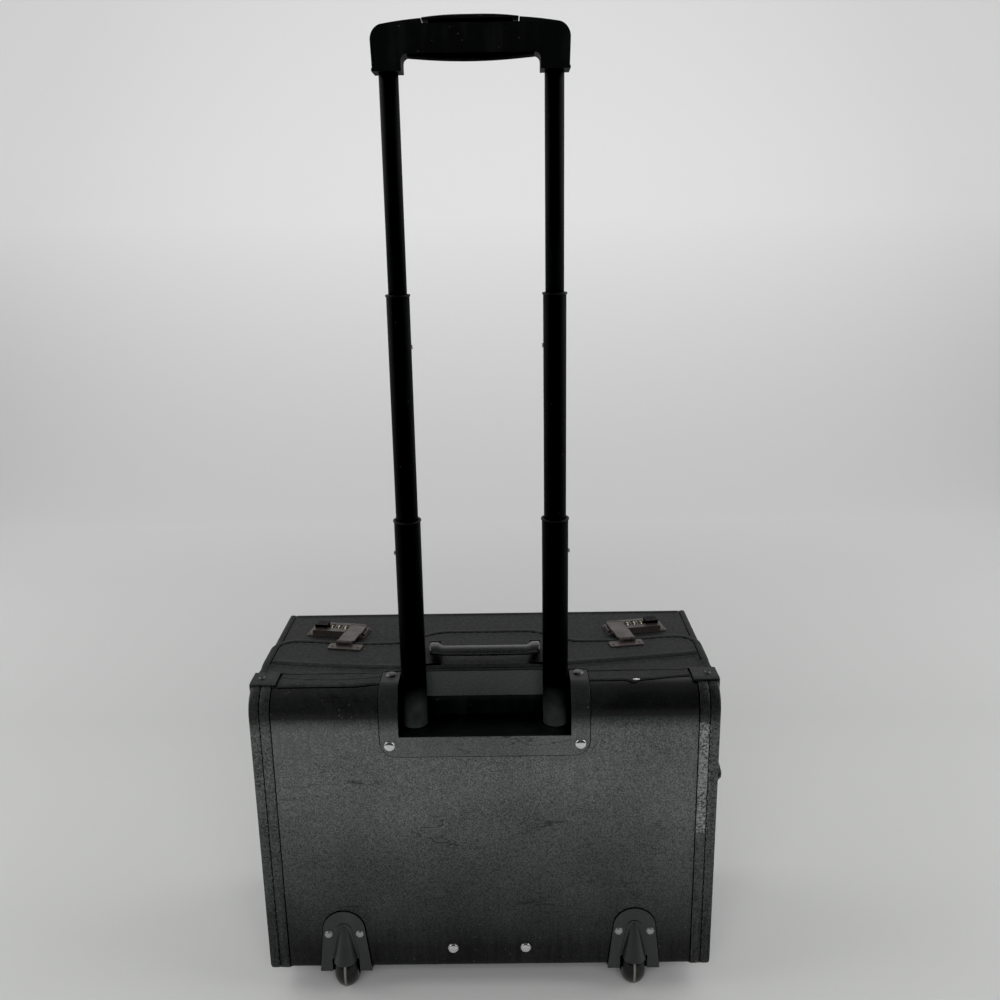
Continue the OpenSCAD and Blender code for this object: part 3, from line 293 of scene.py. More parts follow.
def rub_group():
    """Patches and upright streaks where a surface is rubbed: 0 untouched, 1 worn."""
    tree, start, end = group(
        "Rubbed patches", {"Patches": 9.0, "Streaks": 120.0, "Low": 0.5, "High": 0.75}, ("Mask", "Cloud"))
    space = object_space(tree)
    cloud = put(tree, "ShaderNodeTexNoise",
                {"Vector": space, "Scale": start.outputs["Patches"], "Detail": 4.0, "Roughness": 0.55})
    tall = put(tree, "ShaderNodeMapping", {"Vector": space, "Scale": (1.0, 1.0, 0.07)})
    streaks = put(tree, "ShaderNodeTexNoise",
                  {"Vector": tall.outputs["Vector"], "Scale": start.outputs["Streaks"], "Detail": 4.0,
                   "Roughness": 0.7})
    blend = times(tree, cloud.outputs["Fac"], streaks.outputs["Fac"])
    blend = times(tree, blend, 2.0)
    mask = put(tree, "ShaderNodeMapRange",
               {"Value": blend, "From Min": start.outputs["Low"], "From Max": start.outputs["High"]},
               clamp=True, interpolation_type="SMOOTHSTEP")
    tree.links.new(mask.outputs["Result"], end.inputs["Mask"])
    tree.links.new(cloud.outputs["Fac"], end.inputs["Cloud"])
    return tree


def speck_group():
    """Small pale specks of dust: 1 on a speck."""
    tree, start, end = group("Dust specks", {"Scale": 420.0, "Amount": 0.1}, ("Mask",))
    space = object_space(tree)
    cells = put(tree, "ShaderNodeTexVoronoi", {"Vector": space, "Scale": start.outputs["Scale"]})
    near = ramp(tree, cells.outputs["Distance"], 0.1, 0.22, 1.0, 0.0)
    pick = put(tree, "ShaderNodeSeparateColor", {"Color": cells.outputs["Color"]}).outputs[0]
    few = math_node(tree, "LESS_THAN", pick, start.outputs["Amount"])
    tree.links.new(times(tree, near, few), end.inputs["Mask"])
    return tree


def folds_group():
    """Thin wandering lines of creased cloth, in a few patches: 1 on a line."""
    tree, start, end = group("Cloth folds", {"Scale": 15.0, "Width": 0.006}, ("Mask",))
    space = object_space(tree)
    flat = put(tree, "ShaderNodeMapping", {"Vector": space, "Scale": (0.3, 1.0, 1.5)})
    lines = put(tree, "ShaderNodeTexNoise",
                {"Vector": flat.outputs["Vector"], "Scale": start.outputs["Scale"], "Detail": 4.0,
                 "Roughness": 0.55})
    off = math_node(tree, "ABSOLUTE", math_node(tree, "SUBTRACT", lines.outputs["Fac"], 0.5))
    line = put(tree, "ShaderNodeMapRange",
               {"Value": off, "From Min": 0.0, "From Max": start.outputs["Width"], "To Min": 1.0,
                "To Max": 0.0}, clamp=True)
    where = put(tree, "ShaderNodeTexNoise", {"Vector": space, "Scale": 11.0, "Detail": 1.0})
    some = ramp(tree, where.outputs["Fac"], 0.5, 0.6)
    tree.links.new(times(tree, line.outputs["Result"], some), end.inputs["Mask"])
    return tree


GROUPS = {}
LOOKS = {}


def new_material(name, **shader):
    """A material with its principled shader; constants are set on the shader's own sockets."""
    made = bpy.data.materials.new(name)
    made.use_nodes = True
    tree = made.node_tree
    surface = tree.nodes["Principled BSDF"]
    for key, value in shader.items():
        surface.inputs[key.replace("_", " ")].default_value = value
    return made, tree, surface


def bump(tree, surface, height, distance):
    """Raises the surface's shading by a height, distance metres high at 1."""
    made = put(tree, "ShaderNodeBump", {"Height": height, "Distance": distance, "Strength": 1.0})
    tree.links.new(made.outputs["Normal"], surface.inputs["Normal"])


def heights(tree):
    """The surface's height above the floor and its depth, in metres, as two sockets."""
    parts = put(tree, "ShaderNodeSeparateXYZ", {"Vector": object_space(tree)})
    return parts.outputs["Z"], parts.outputs["Y"]


def noise(tree, scale, detail=2.0, **more):
    """A cloud of noise over the piece, 0 to 1, as a socket."""
    inputs = {"Vector": object_space(tree), "Scale": scale, "Detail": detail, **more}
    return put(tree, "ShaderNodeTexNoise", inputs).outputs["Fac"]


def tinted(tree, colour, tone):
    """A colour times a tone that changes over the surface."""
    base = put(tree, "ShaderNodeMix", {0: 1.0, 6: (*colour, 1.0)}, data_type="RGBA", blend_type="MULTIPLY")
    tree.links.new(grey_of(tree, tone), base.inputs[7])
    return base.outputs[2]


def crown_painted_shade(tree, up, deep, crown):
    """Painted shade: 1 on the back and the flat top; it falls to crown on the round edge between them,
    darkening the colour there.
    """
    edge = BASE + (TOP - TOP_RADIUS) * MM
    falling = ramp(tree, up, edge - 0.018, edge - 0.002, 1.0, crown)
    return math_node(tree, "MAXIMUM", falling, ramp(tree, deep, BACK + 0.054, BACK + 0.06))


def leather_material(name, colour, rub, pebbles=900.0, wrinkles=260.0, depth=0.00022, rough=(0.42, 0.6),
                     tones=(0.75, 1.25), low=0.5, high=0.85, wear=0.5, streaks=120.0, specular=0.42,
                     ior=1.46, above=None, foot=1.0, crown=1.0, dust=0.03, paler=None, pale=2.2):
    """Grained leather cloth. above keeps the rubbed streaks over a height, foot and crown darken the skin
    with painted shade towards the floor and on the round top edge, and paler makes a mask for parts made
    paler grey."""
    made, tree, surface = new_material(name, IOR=ior, Specular_IOR_Level=specular)
    grain = place(tree, GROUPS["grain"], Pebbles=pebbles, Wrinkles=wrinkles)
    rubbed = place(tree, GROUPS["rub"], Low=low, High=high, Streaks=streaks)
    specks = place(tree, GROUPS["specks"], Amount=dust)
    fine, cloud = grain.outputs["Tone"], rubbed.outputs["Cloud"]
    up, deep = heights(tree)
    worn = times(tree, rubbed.outputs["Mask"], wear)
    if above:
        start, end, least = above
        worn = times(tree, worn, ramp(tree, up, start, end, least, 1.0))
    tone = times(tree, ramp(tree, fine, 0.36, 0.64, *tones), ramp(tree, cloud, 0.35, 0.65, 0.8, 1.2))
    if foot < 1.0:
        # painted shade: the colour darkens on the round top edge and towards the floor
        crown_shade = crown_painted_shade(tree, up, deep, crown)
        # painted shade along thin crease lines of the cloth
        folds = ramp(tree, place(tree, GROUPS["folds"]).outputs["Mask"], 0.0, 1.0, 1.0, 0.3)
        worn = times(tree, worn, crown_shade)
        tone = times(tree, tone, ramp(tree, up, 0.05, 0.25, foot, 1.0), crown_shade, folds)
    shade = mix_colour(tree, worn, tinted(tree, colour, tone), rub)
    if paler:
        mask = times(tree, paler(tree), ramp(tree, fine, 0.4, 0.62))
        shade = mix_colour(tree, mask, shade, scaled(rub, pale))
    shade = mix_colour(tree, times(tree, specks.outputs["Mask"], 0.35), shade, LEATHER_DUST)
    tree.links.new(shade, surface.inputs["Base Color"])
    gloss = math_node(tree, "ADD", ramp(tree, cloud, 0.3, 0.7, *rough),
                      ramp(tree, fine, 0.3, 0.7, 0.05, -0.05))
    gloss = math_node(tree, "ADD", gloss, times(tree, worn, 0.12), clamp=True)
    if foot < 1.0:
        gloss = math_node(tree, "ADD", gloss, ramp(tree, up, 0.0, 0.16, 0.3, 0.0), clamp=True)
    tree.links.new(gloss, surface.inputs["Roughness"])
    bump(tree, surface, grain.outputs["Height"], depth)
    return made


def box_mask(tree, **spans):
    """1 inside a box of object coordinates in metres, with edges two millimetres soft, else 0."""
    parts = put(tree, "ShaderNodeSeparateXYZ", {"Vector": object_space(tree)})
    steps = []
    for axis, (low, high) in spans.items():
        steps.append(ramp(tree, parts.outputs[axis], low - MM, low + MM, 0.0, 1.0))
        steps.append(ramp(tree, parts.outputs[axis], high - MM, high + MM, 1.0, 0.0))
    return times(tree, *steps)


def pale_binding_stretch(tree):
    """The stretch of the right binding's inner edge that is made paler grey."""
    return box_mask(tree, X=(HALF * MM - 0.0188, HALF * MM - 0.0085), Y=(BACK - 0.01, BACK + 0.012),
                    Z=(BASE + 0.16, BASE + 0.281))


def plastic_material(name, colour, rough=0.4, scale=1800.0, depth=0.00004, dust=0.02, specular=0.4):
    """Moulded plastic or paint with a fine spark, faint rubbing and dust."""
    made, tree, surface = new_material(name, IOR=1.46, Specular_IOR_Level=specular)
    spark = noise(tree, scale, 3.0)
    rubbed = place(tree, GROUPS["rub"], Low=0.45, High=0.8, Patches=22.0)
    specks = place(tree, GROUPS["specks"], Amount=dust, Scale=600.0)
    lighter = tuple(min(1.0, c * 4 + 0.01) for c in colour)
    shade = mix_colour(tree, times(tree, rubbed.outputs["Mask"], 0.1), colour, lighter)
    shade = mix_colour(tree, times(tree, specks.outputs["Mask"], 0.4), shade, PLASTIC_DUST)
    gloss = ramp(tree, rubbed.outputs["Cloud"], 0.3, 0.7, rough - 0.06, rough + 0.08)
    tree.links.new(shade, surface.inputs["Base Color"])
    tree.links.new(gloss, surface.inputs["Roughness"])
    bump(tree, surface, spark, depth)
    return made


def tube_material(colour):
    """Tube enamel with a painted reflection that greys it towards the foot of the visible tube."""
    made, tree, surface = new_material("Tube enamel with painted reflection", Roughness=0.5, Specular_IOR_Level=0.05)
    up, _ = heights(tree)
    # painted reflection: paler towards the foot
    grey = ramp(tree, up, BASE + 0.266, BASE + 0.312, 0.9, 0.0)
    grey = times(tree, grey, ramp(tree, noise(tree, 60.0), 0.3, 0.7, 0.5, 1.0))
    tree.links.new(mix_colour(tree, grey, colour, (0.05, 0.054, 0.052)), surface.inputs["Base Color"])
    return made


def metal_material(name, colour, rough=0.2, metallic=1.0, depth=0.00002):
    """Plated or bronzed metal with a cloudy polish."""
    made, tree, surface = new_material(name, Metallic=metallic)
    fine = noise(tree, 700.0, 4.0)
    rubbed = place(tree, GROUPS["rub"], Patches=60.0, Streaks=300.0)
    tone = ramp(tree, fine, 0.3, 0.7, 0.8, 1.15)
    gloss = ramp(tree, rubbed.outputs["Cloud"], 0.3, 0.7, rough * 0.75, rough * 1.4)
    tree.links.new(tinted(tree, colour, tone), surface.inputs["Base Color"])
    tree.links.new(gloss, surface.inputs["Roughness"])
    bump(tree, surface, fine, depth)
    return made


def wheel_material():
    """Black rubber with dust that gathers along the parting line and the flanks."""
    made, tree, surface = new_material("Wheel rubber", IOR=1.5, Specular_IOR_Level=0.3)
    parts = put(tree, "ShaderNodeSeparateXYZ", {"Vector": object_space(tree)})
    across = math_node(tree, "ABSOLUTE", parts.outputs["X"])
    off = math_node(tree, "ABSOLUTE", math_node(tree, "SUBTRACT", across, middle_of("wheel_right").x))
    seam = ramp(tree, off, 0.0004, 0.0016, 1.0, 0.0)
    cloud = noise(tree, 130.0, 6.0, Roughness=0.7)
    dusty = ramp(tree, cloud, 0.5, 0.75, 0.0, 0.06)
    dusty = math_node(tree, "MAXIMUM", dusty, times(tree, seam, 0.75))
    shade = mix_colour(tree, dusty, (0.004, 0.0042, 0.004), (0.22, 0.215, 0.19))
    tree.links.new(shade, surface.inputs["Base Color"])
    tree.links.new(ramp(tree, dusty, 0.0, 0.6, 0.22, 0.75), surface.inputs["Roughness"])
    bump(tree, surface, cloud, 0.00008)
    return made


def cloth_material():
    """Dark woven lining."""
    made, tree, surface = new_material("Lining cloth", Sheen_Weight=0.2, Roughness=0.9)
    threads = {"Vector": object_space(tree), "Scale": 420.0, "Distortion": 0.6}
    weave = [put(tree, "ShaderNodeTexWave", threads, bands_direction=way).outputs["Fac"] for way in "XZ"]
    both = times(tree, *weave)
    tree.links.new(mix_colour(tree, both, (0.012, 0.012, 0.013), (0.035, 0.035, 0.037)),
                   surface.inputs["Base Color"])
    bump(tree, surface, both, 0.0002)
    return made


def leather_looks(leather, rub):
    """The finishes of the leather cloth, from the boards to the corner tabs."""
    board = dict(rub=rub, pebbles=900.0, wrinkles=850.0, depth=0.00016, rough=(0.34, 0.44),
                 tones=(0.3, 1.7), low=0.36, high=0.8, wear=0.8, streaks=200.0, specular=0.25, ior=1.5,
                 above=(0.2, 0.27, 0.12), foot=0.05)
    strip = dict(pebbles=620.0, wrinkles=600.0, depth=0.0006, rough=(0.28, 0.48), tones=(0.1, 1.9),
                 low=0.42, high=0.75, wear=0.35, streaks=260.0, specular=0.35, foot=0.15, crown=0.15)
    return dict(
        # painted light: the boards, bindings and patch take the leather colour several times lighter than the
        # flap and tab, in place of the light on the case's back
        board=leather_material("Board leather", scaled(leather, 7.4), crown=0.05, **board),
        end=leather_material("End board leather", scaled(leather, 7.4), **board),
        flap=leather_material("Flap leather", scaled(leather, 0.9), rub, pebbles=1100.0, depth=0.0001,
                              rough=(0.55, 0.68), wear=0.12, specular=0.25),
        strip=leather_material("Binding leather", scaled(leather, 4.6), rub, paler=pale_binding_stretch, pale=3.2,
                               **strip),
        patch=leather_material("Patch leather", scaled(leather, 6.4), rub, pebbles=1000.0, wrinkles=700.0,
                               rough=(0.34, 0.42), tones=(0.6, 1.4), wear=0.2, specular=0.25, ior=1.5,
                               foot=0.9, crown=0.12),
        # painted light: the recess leather is lightened to make up for the shade it stands in
        wall=leather_material("Recess leather", scaled(leather, 3.8), rub, wrinkles=600.0,
                              rough=(0.5, 0.6), wear=0.0),
        tab=leather_material("Tab leather", scaled(leather, 0.75), rub, pebbles=1100.0, depth=0.0001,
                             rough=(0.45, 0.6), wear=0.15, specular=0.3),
    )


def make_materials():
    """Builds the node groups and every finish of the case once."""
    if LOOKS:
        return
    c = bpy.context.scene.briefcase_colours
    GROUPS.update(grain=leather_grain_group(), rub=rub_group(), specks=speck_group(), folds=folds_group())
    LOOKS.update(leather_looks(tuple(c.leather), tuple(c.leather_rub)))
    LOOKS.update(
        # painted shade: the dark lines laid in grooves, creases and along edges
        paint=plastic_material("Painted shade lines", (0.0012, 0.0012, 0.0012), rough=0.75, dust=0.0, specular=0.1),
        thread=plastic_material("Sewing thread", (0.002, 0.002, 0.002), rough=0.8, scale=2600.0,
                                depth=0.0002, specular=0.15),
        grip=plastic_material("Grip plastic", tuple(c.plastic), rough=0.6, depth=0.00003, specular=0.05),
        pad=plastic_material("Grip pad", scaled(c.plastic, 0.7), rough=0.8, specular=0.02),
        tray=plastic_material("Tray plastic", (0.0055, 0.0058, 0.0058), rough=0.35, specular=0.3),
        housing=plastic_material("Housing plastic", (0.014, 0.015, 0.015), rough=0.34, depth=0.00006,
                                 dust=0.08, specular=0.6),
        handle=plastic_material("Carry handle plastic", (0.009, 0.0095, 0.0094), rough=0.28, scale=900.0,
                                depth=0.00005, specular=0.6),
        tube=plastic_material("Tube enamel", tuple(c.tube), rough=0.5, depth=0.00001, dust=0.01,
                              specular=0.05),
        collar=plastic_material("Collar plastic", (0.002, 0.002, 0.002), rough=0.5, specular=0.15),
        low_tube=tube_material(tuple(c.tube)),
        chrome=metal_material("Rivet chrome", (0.72, 0.72, 0.73), rough=0.12),
        dull=metal_material("Dull steel", (0.42, 0.42, 0.43), rough=0.35),
        # painted shade: the top rivets' chrome made darker
        grey=metal_material("Rivet in painted shade", (0.16, 0.16, 0.165), rough=0.45),
        bronze=metal_material("Lock bronze", tuple(c.bronze), rough=0.38, metallic=0.75, depth=0.00005),
        brass=metal_material("Dial brass", tuple(c.brass), rough=0.32, depth=0.00003),
        digits=plastic_material("Digit paint", (0.85, 0.82, 0.7), rough=0.5),
        pale=plastic_material("Bare board", (0.55, 0.55, 0.52), rough=0.7),
        wheel=wheel_material(),
        cloth=cloth_material(),
    )


# Mesh helpers


def recoat(node, look):
    """Gives a CAD node that stays as it is one of the case's finishes."""
    materials = frame["nodes"][node].data.materials
    materials.clear()
    materials.append(LOOKS[look])


def piece(name, bm, body, look, replaces=(), sharp=38.0, merge=1e-6, outward=True):
    """Finishes a bmesh as a piece: merged, facing outwards, smooth with its sharp edges kept, and ridden."""
    bmesh.ops.remove_doubles(bm, verts=bm.verts, dist=merge)
    if outward:
        bmesh.ops.recalc_face_normals(bm, faces=bm.faces)
    mesh = bpy.data.meshes.new(name)
    bm.to_mesh(mesh)
    bm.free()
    mesh.shade_smooth()
    mesh.set_sharp_from_angle(angle=math.radians(sharp))
    made = bpy.data.objects.new(name, mesh)
    bpy.context.scene.collection.objects.link(made)
    mesh.materials.append(LOOKS[look])
    if body:
        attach(made, body)
    if replaces:
        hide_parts(*replaces)
    return made


def weigh_normals(made):
    """Lets large flat faces keep their own shading beside rounded edges."""
    weighted = made.modifiers.new("Face weight", "WEIGHTED_NORMAL")
    weighted.keep_sharp = True
    weighted.weight = 80
    return made


def soften(bm, edges, width, segments=2, clamp=False):
    """Rounds edges by a width in metres."""
    bmesh.ops.bevel(bm, geom=edges, offset=width, offset_type="OFFSET", affect="EDGES", segments=segments,
                    profile=0.5, clamp_overlap=clamp, material=-1)


def dressed(name, node, look, edge=0.3, segments=2, angle=40.0):
    """A copy of a CAD node, merged and cleared of flat seams, with its sharp edges rounded by edge mm."""
    bm = bmesh.new()
    bm.from_mesh(frame["nodes"][node].data)
    bmesh.ops.remove_doubles(bm, verts=bm.verts, dist=3e-6)
    bmesh.ops.dissolve_limit(bm, angle_limit=math.radians(0.6), verts=bm.verts, edges=bm.edges)
    width, sharp = edge * MM, math.radians(angle)
    if edge:
        shortest = 2.4 * width
        corners = [e for e in bm.edges if e.is_manifold and abs(e.calc_face_angle(0.0)) > sharp
                   and e.calc_length() > shortest]
        soften(bm, corners, width, segments, clamp=True)
    body = frame["nodes"][node]["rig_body"]
    made = piece(name, bm, body, look, replaces=(node,), merge=1e-7, outward=False)
    return weigh_normals(made)


def add_part(bm, part):
    """Adds one bmesh to another and frees it."""
    keep = bpy.data.meshes.new("part")
    part.to_mesh(keep)
    part.free()
    bm.from_mesh(keep)
    bpy.data.meshes.remove(keep)
    return bm


def formed(columns, rows, spot, bm=None):
    """A grid of columns by rows whose points are moved to spot(column, row); it is added to bm if given."""
    sheet = bmesh.new()
    bmesh.ops.create_grid(sheet, x_segments=columns, y_segments=rows, size=0.5)
    for v in sheet.verts:
        v.co = spot(round((v.co.x + 0.5) * columns), round((v.co.y + 0.5) * rows))
    return sheet if bm is None else add_part(bm, sheet)


def rims(bm):
    """The open edges of a bmesh."""
    return [e for e in bm.edges if e.is_boundary]


def two_faced(columns, rows, upper, under):
    """Two grids of one size, upper and under, joined along their rims."""
    bm = formed(columns, rows, upper)
    formed(columns, rows, under, bm)
    for f in bm.faces:
        f.normal_update()
    bmesh.ops.bridge_loops(bm, edges=rims(bm))
    return bm


def block(bm, low, high, edge):
    """A box between two corners, its edges rounded by edge metres."""
    size = Matrix.Diagonal((*(high - low), 1))
    made = bmesh.ops.create_cube(bm, size=1.0, matrix=Matrix.Translation((low + high) / 2) @ size)
    corners = set(made["verts"])
    soften(bm, [e for e in bm.edges if e.verts[0] in corners], edge)


def turned(profile, centre, axis="Z", steps=64, bm=None, closed=False):
    """Spins a profile of (radius, height) points, in mm, round an axis through centre."""
    bm = bm or bmesh.new()
    way = {"X": Vector((1, 0, 0)), "Z": UP}[axis]
    out = UP if axis == "X" else Vector((1, 0, 0))
    points = [bm.verts.new(centre + (out * r + way * h) * MM) for r, h in profile]
    following = points[1:] + (points[:1] if closed else [])
    line = [bm.edges.new(pair) for pair in zip(points, following)]
    bmesh.ops.spin(bm, geom=points + line, cent=centre, axis=way, angle=math.tau, steps=steps, use_merge=True)
    return bm


def dome(d, h, steps=10):
    """Profile of a rivet head of diameter d and height h, flat in the middle and round at its rim."""
    turns = [math.pi / 2 * (i / steps) for i in range(steps + 1)]
    return [(d / 2 * math.sin(a) ** 0.8, h * math.cos(a) ** 0.8) for a in turns]


def rivet_head(bm, spot, up, d, h, dish=False):
    """A domed rivet head with a thin brim, or a dished one, standing on spot along up."""
    brim = 0.35
    if dish:
        profile = [(0.0, h * 0.25), (d * 0.16, h * 0.3), (d * 0.24, h * 0.75), (d * 0.34, h),
                   (d * 0.43, h * 0.75), (d / 2, h * 0.2), (d / 2, -0.4)]
    else:
        profile = [(r, z + brim) for r, z in dome(d - 0.6, h - brim)]
        profile += [(d / 2 - 0.1, 0.3), (d / 2, 0.1), (d / 2, -0.4)]
    part = turned(profile, Vector(), steps=32)
    part.transform(Matrix.Translation(spot) @ up.to_track_quat("Z", "Y").to_matrix().to_4x4())
    add_part(bm, part)


def smooth(t):
    """0 below 0, 1 above 1, and an even swing between them."""
    t = max(0.0, min(1.0, t))
    return t * t * (3 - 2 * t)


# The outline of the case


BINDING_DROP, BINDING_END = 5.0, 52.0  # the bindings start under the front top edge and end on the top


def outline(step=7.0):
    """Points round the case from the front top edge, under it and up the back to the flap, in order.
    Each is (y, z, outward y, outward z, distance along)."""
    found = []

    def straight(y0, z0, y1, z1, ny, nz):
        n = max(1, round(math.hypot(y1 - y0, z1 - z0) / step))
        for i in range(n):
            found.append((y0 + (y1 - y0) * i / n, z0 + (z1 - z0) * i / n, ny, nz))

    def bend(cy, cz, r, a0, a1, n):
        for i in range(n):
            a = math.radians(a0 + (a1 - a0) * i / n)
            found.append((cy + r * math.cos(a), cz + r * math.sin(a), math.cos(a), math.sin(a)))

    straight(DEPTH, TOP - BINDING_DROP, DEPTH, LOW_RADIUS, 1, 0)
    bend(DEPTH - LOW_RADIUS, LOW_RADIUS, LOW_RADIUS, 0, -90, 8)
    straight(DEPTH - LOW_RADIUS, 0, LOW_RADIUS, 0, 0, -1)
    bend(LOW_RADIUS, LOW_RADIUS, LOW_RADIUS, -90, -180, 8)
    straight(0, LOW_RADIUS, 0, TOP - TOP_RADIUS, -1, 0)
    bend(TOP_RADIUS, TOP - TOP_RADIUS, TOP_RADIUS, 180, 90, 14)
    straight(TOP_RADIUS, TOP, BINDING_END, TOP, 0, 1)
    found.append((BINDING_END, TOP, 0, 1))
    line, along, before = [], 0.0, found[0]
    for p in found:
        along += math.hypot(p[0] - before[0], p[1] - before[1])
        line.append((*p, along))
        before = p
    return line


def skin_height(y):
    """Height of the case outline's top side at a depth y near the back."""
    if y >= TOP_RADIUS:
        return TOP
    return TOP - TOP_RADIUS + math.sqrt(max(0.0, TOP_RADIUS**2 - (TOP_RADIUS - y) ** 2))


# Places of the stitches' valleys: out from the side on the back, up from the outline on the side
BACK_VALLEY, SIDE_VALLEY = -8.8, -5.6
BINDING_SECTION = [  # out from the side, up from the outline; the valley in each face holds the stitches
    (-18.8, 0.0), (-18.8, 0.6), (-18.5, 1.0), (-17.8, 1.2), (-14.5, 1.25), (-11.8, 1.2), (-10.2, 0.95),
    (-9.3, 0.62), (-8.8, 0.55), (-8.3, 0.62), (-7.4, 0.95), (-5.8, 1.2), (-2.5, 1.25), (-0.4, 1.15),
    (0.6, 0.8), (1.1, 0.1), (1.2, -0.8), (1.2, -3.4), (1.0, -4.6), (0.65, -5.3), (0.6, -5.6), (0.65, -5.9),
    (1.0, -6.6), (1.2, -7.8), (1.2, -10.0), (0.9, -10.7), (0.4, -10.95), (0.0, -11.0), (0.0, 0.0),
]


def stitch(bm, spot, along, up, length, width):
    """One stitch: a small thread barrel, half sunk, that lies along a direction."""
    side = up.cross(along).normalized()
    turn = Matrix((along, side, up)).transposed().to_4x4()
    size = Matrix.Diagonal((length / 2, width / 2, width / 2, 1.0))
    bmesh.ops.create_uvsphere(bm, u_segments=6, v_segments=4, radius=1.0,
                              matrix=Matrix.Translation(spot) @ turn @ size)


def stitch_line(bm, points, ups, sizes, skip=None):
    """Stitches at even steps along a line of points, left out where skip says so."""
    pitch, length, width = sizes.stitch_pitch, sizes.stitch_length, sizes.thread_width
    run, need = 0.0, pitch / 2
    for i in range(1, len(points)):
        a, b = points[i - 1], points[i]
        span = (b - a).length
        while run + span >= need:
            t = (need - run) / span
            spot = a.lerp(b, t)
            if not (skip and skip(spot)):
                stitch(bm, spot, (b - a).normalized(), ups[i - 1].lerp(ups[i], t).normalized(), length, width)
            need += pitch
        run += span
    return bm


def on_back(x, s, lift=0.0):
    """A point on the case's back, s mm up along its skin from the floor side, and its outward normal."""
    flat = TOP - TOP_RADIUS
    if s < LOW_RADIUS:
        a = (LOW_RADIUS - s) / LOW_RADIUS
        ny, nz = -math.cos(a), -math.sin(a)
        y, z = LOW_RADIUS * (1 + ny), LOW_RADIUS * (1 + nz)
    elif s < flat:
        y, z, ny, nz = 0.0, s, -1.0, 0.0
    elif s < flat + TOP_RADIUS * math.pi / 2:
        a = (s - flat) / TOP_RADIUS
        ny, nz = -math.cos(a), math.sin(a)
        y, z = TOP_RADIUS * (1 + ny), flat + TOP_RADIUS * nz
    else:
        y, z, ny, nz = s - flat + TOP_RADIUS * (1 - math.pi / 2), TOP, 0.0, 1.0
    return at(x, y + ny * lift, z + nz * lift), Vector((0, ny, nz))


def along_skin(y):
    """Length along the skin from the floor side to the depth y on the case's top."""
    if y < TOP_RADIUS:
        return TOP - TOP_RADIUS + TOP_RADIUS * math.acos(1 - y / TOP_RADIUS)
    return TOP - TOP_RADIUS + TOP_RADIUS * math.pi / 2 + y - TOP_RADIUS


def tape(bm, points, ups, width, height):
    """A narrow crowned dark band of painted shade along a line of points, its foot a little under them."""
    foot = -0.15
    section = [(-0.5, foot), (-0.35, height), (0.35, height), (0.5, foot), (-0.5, foot)]
    last = len(points) - 1

    def spot(i, j):
        ahead = (points[min(last, i + 1)] - points[max(0, i - 1)]).normalized()
        side = ups[i].cross(ahead).normalized()
        across, up = section[j]
        return points[i] + side * (across * width * MM) + ups[i] * (up * MM)

    formed(last, len(section) - 1, spot, bm)


def skin_tape(bm, path, width, height):
    """A band of painted shade on the skin of the back, along a path of (x, length along the skin)."""
    found = [on_back(x, s) for x, s in path]
    tape(bm, [point for point, _ in found], [up for _, up in found], width, height)


def spread(a, b, step=4.0):
    """Numbers from a to b in even steps of about step."""
    n = max(1, round(abs(b - a) / step))
    return [a + (b - a) * i / n for i in range(n + 1)]


# Boards, bindings, patches and rivets


class CASE_OT_boards(bpy.types.Operator):
    """Adds the leather covered boards, the partition and the tray of the recess"""

    bl_idname = "briefcase.boards"
    bl_label = "Covered boards"

    def execute(self, context):
        make_materials()
        dressed("covered_wrap", "shell_wrap", "board", edge=0.7)
        for side, _ in SIDES:
            dressed(f"end_board_{side}", f"side_panel_{side}", "end", edge=0.0)
        dressed("partition_leather", "partition_board", "wall", edge=0.6)
        dressed("recess_tray", "handle_tray", "tray", edge=0.25)
        recoat("lining", "cloth")
        return {"FINISHED"}


def edge_points(line, sign, out, up, waver=0.0):
    """Points over the outline of one side, out from its end board and up from its skin."""
    return [at(sign * (HALF + out + waver * math.sin(s * math.tau / 8.5)), y + ny * up, z + nz * up)
            for y, z, ny, nz, s in line]


def edge_ups(line):
    """The skin's outward directions along the outline."""
    return [Vector((0, ny, nz)) for _, _, ny, nz, _ in line]


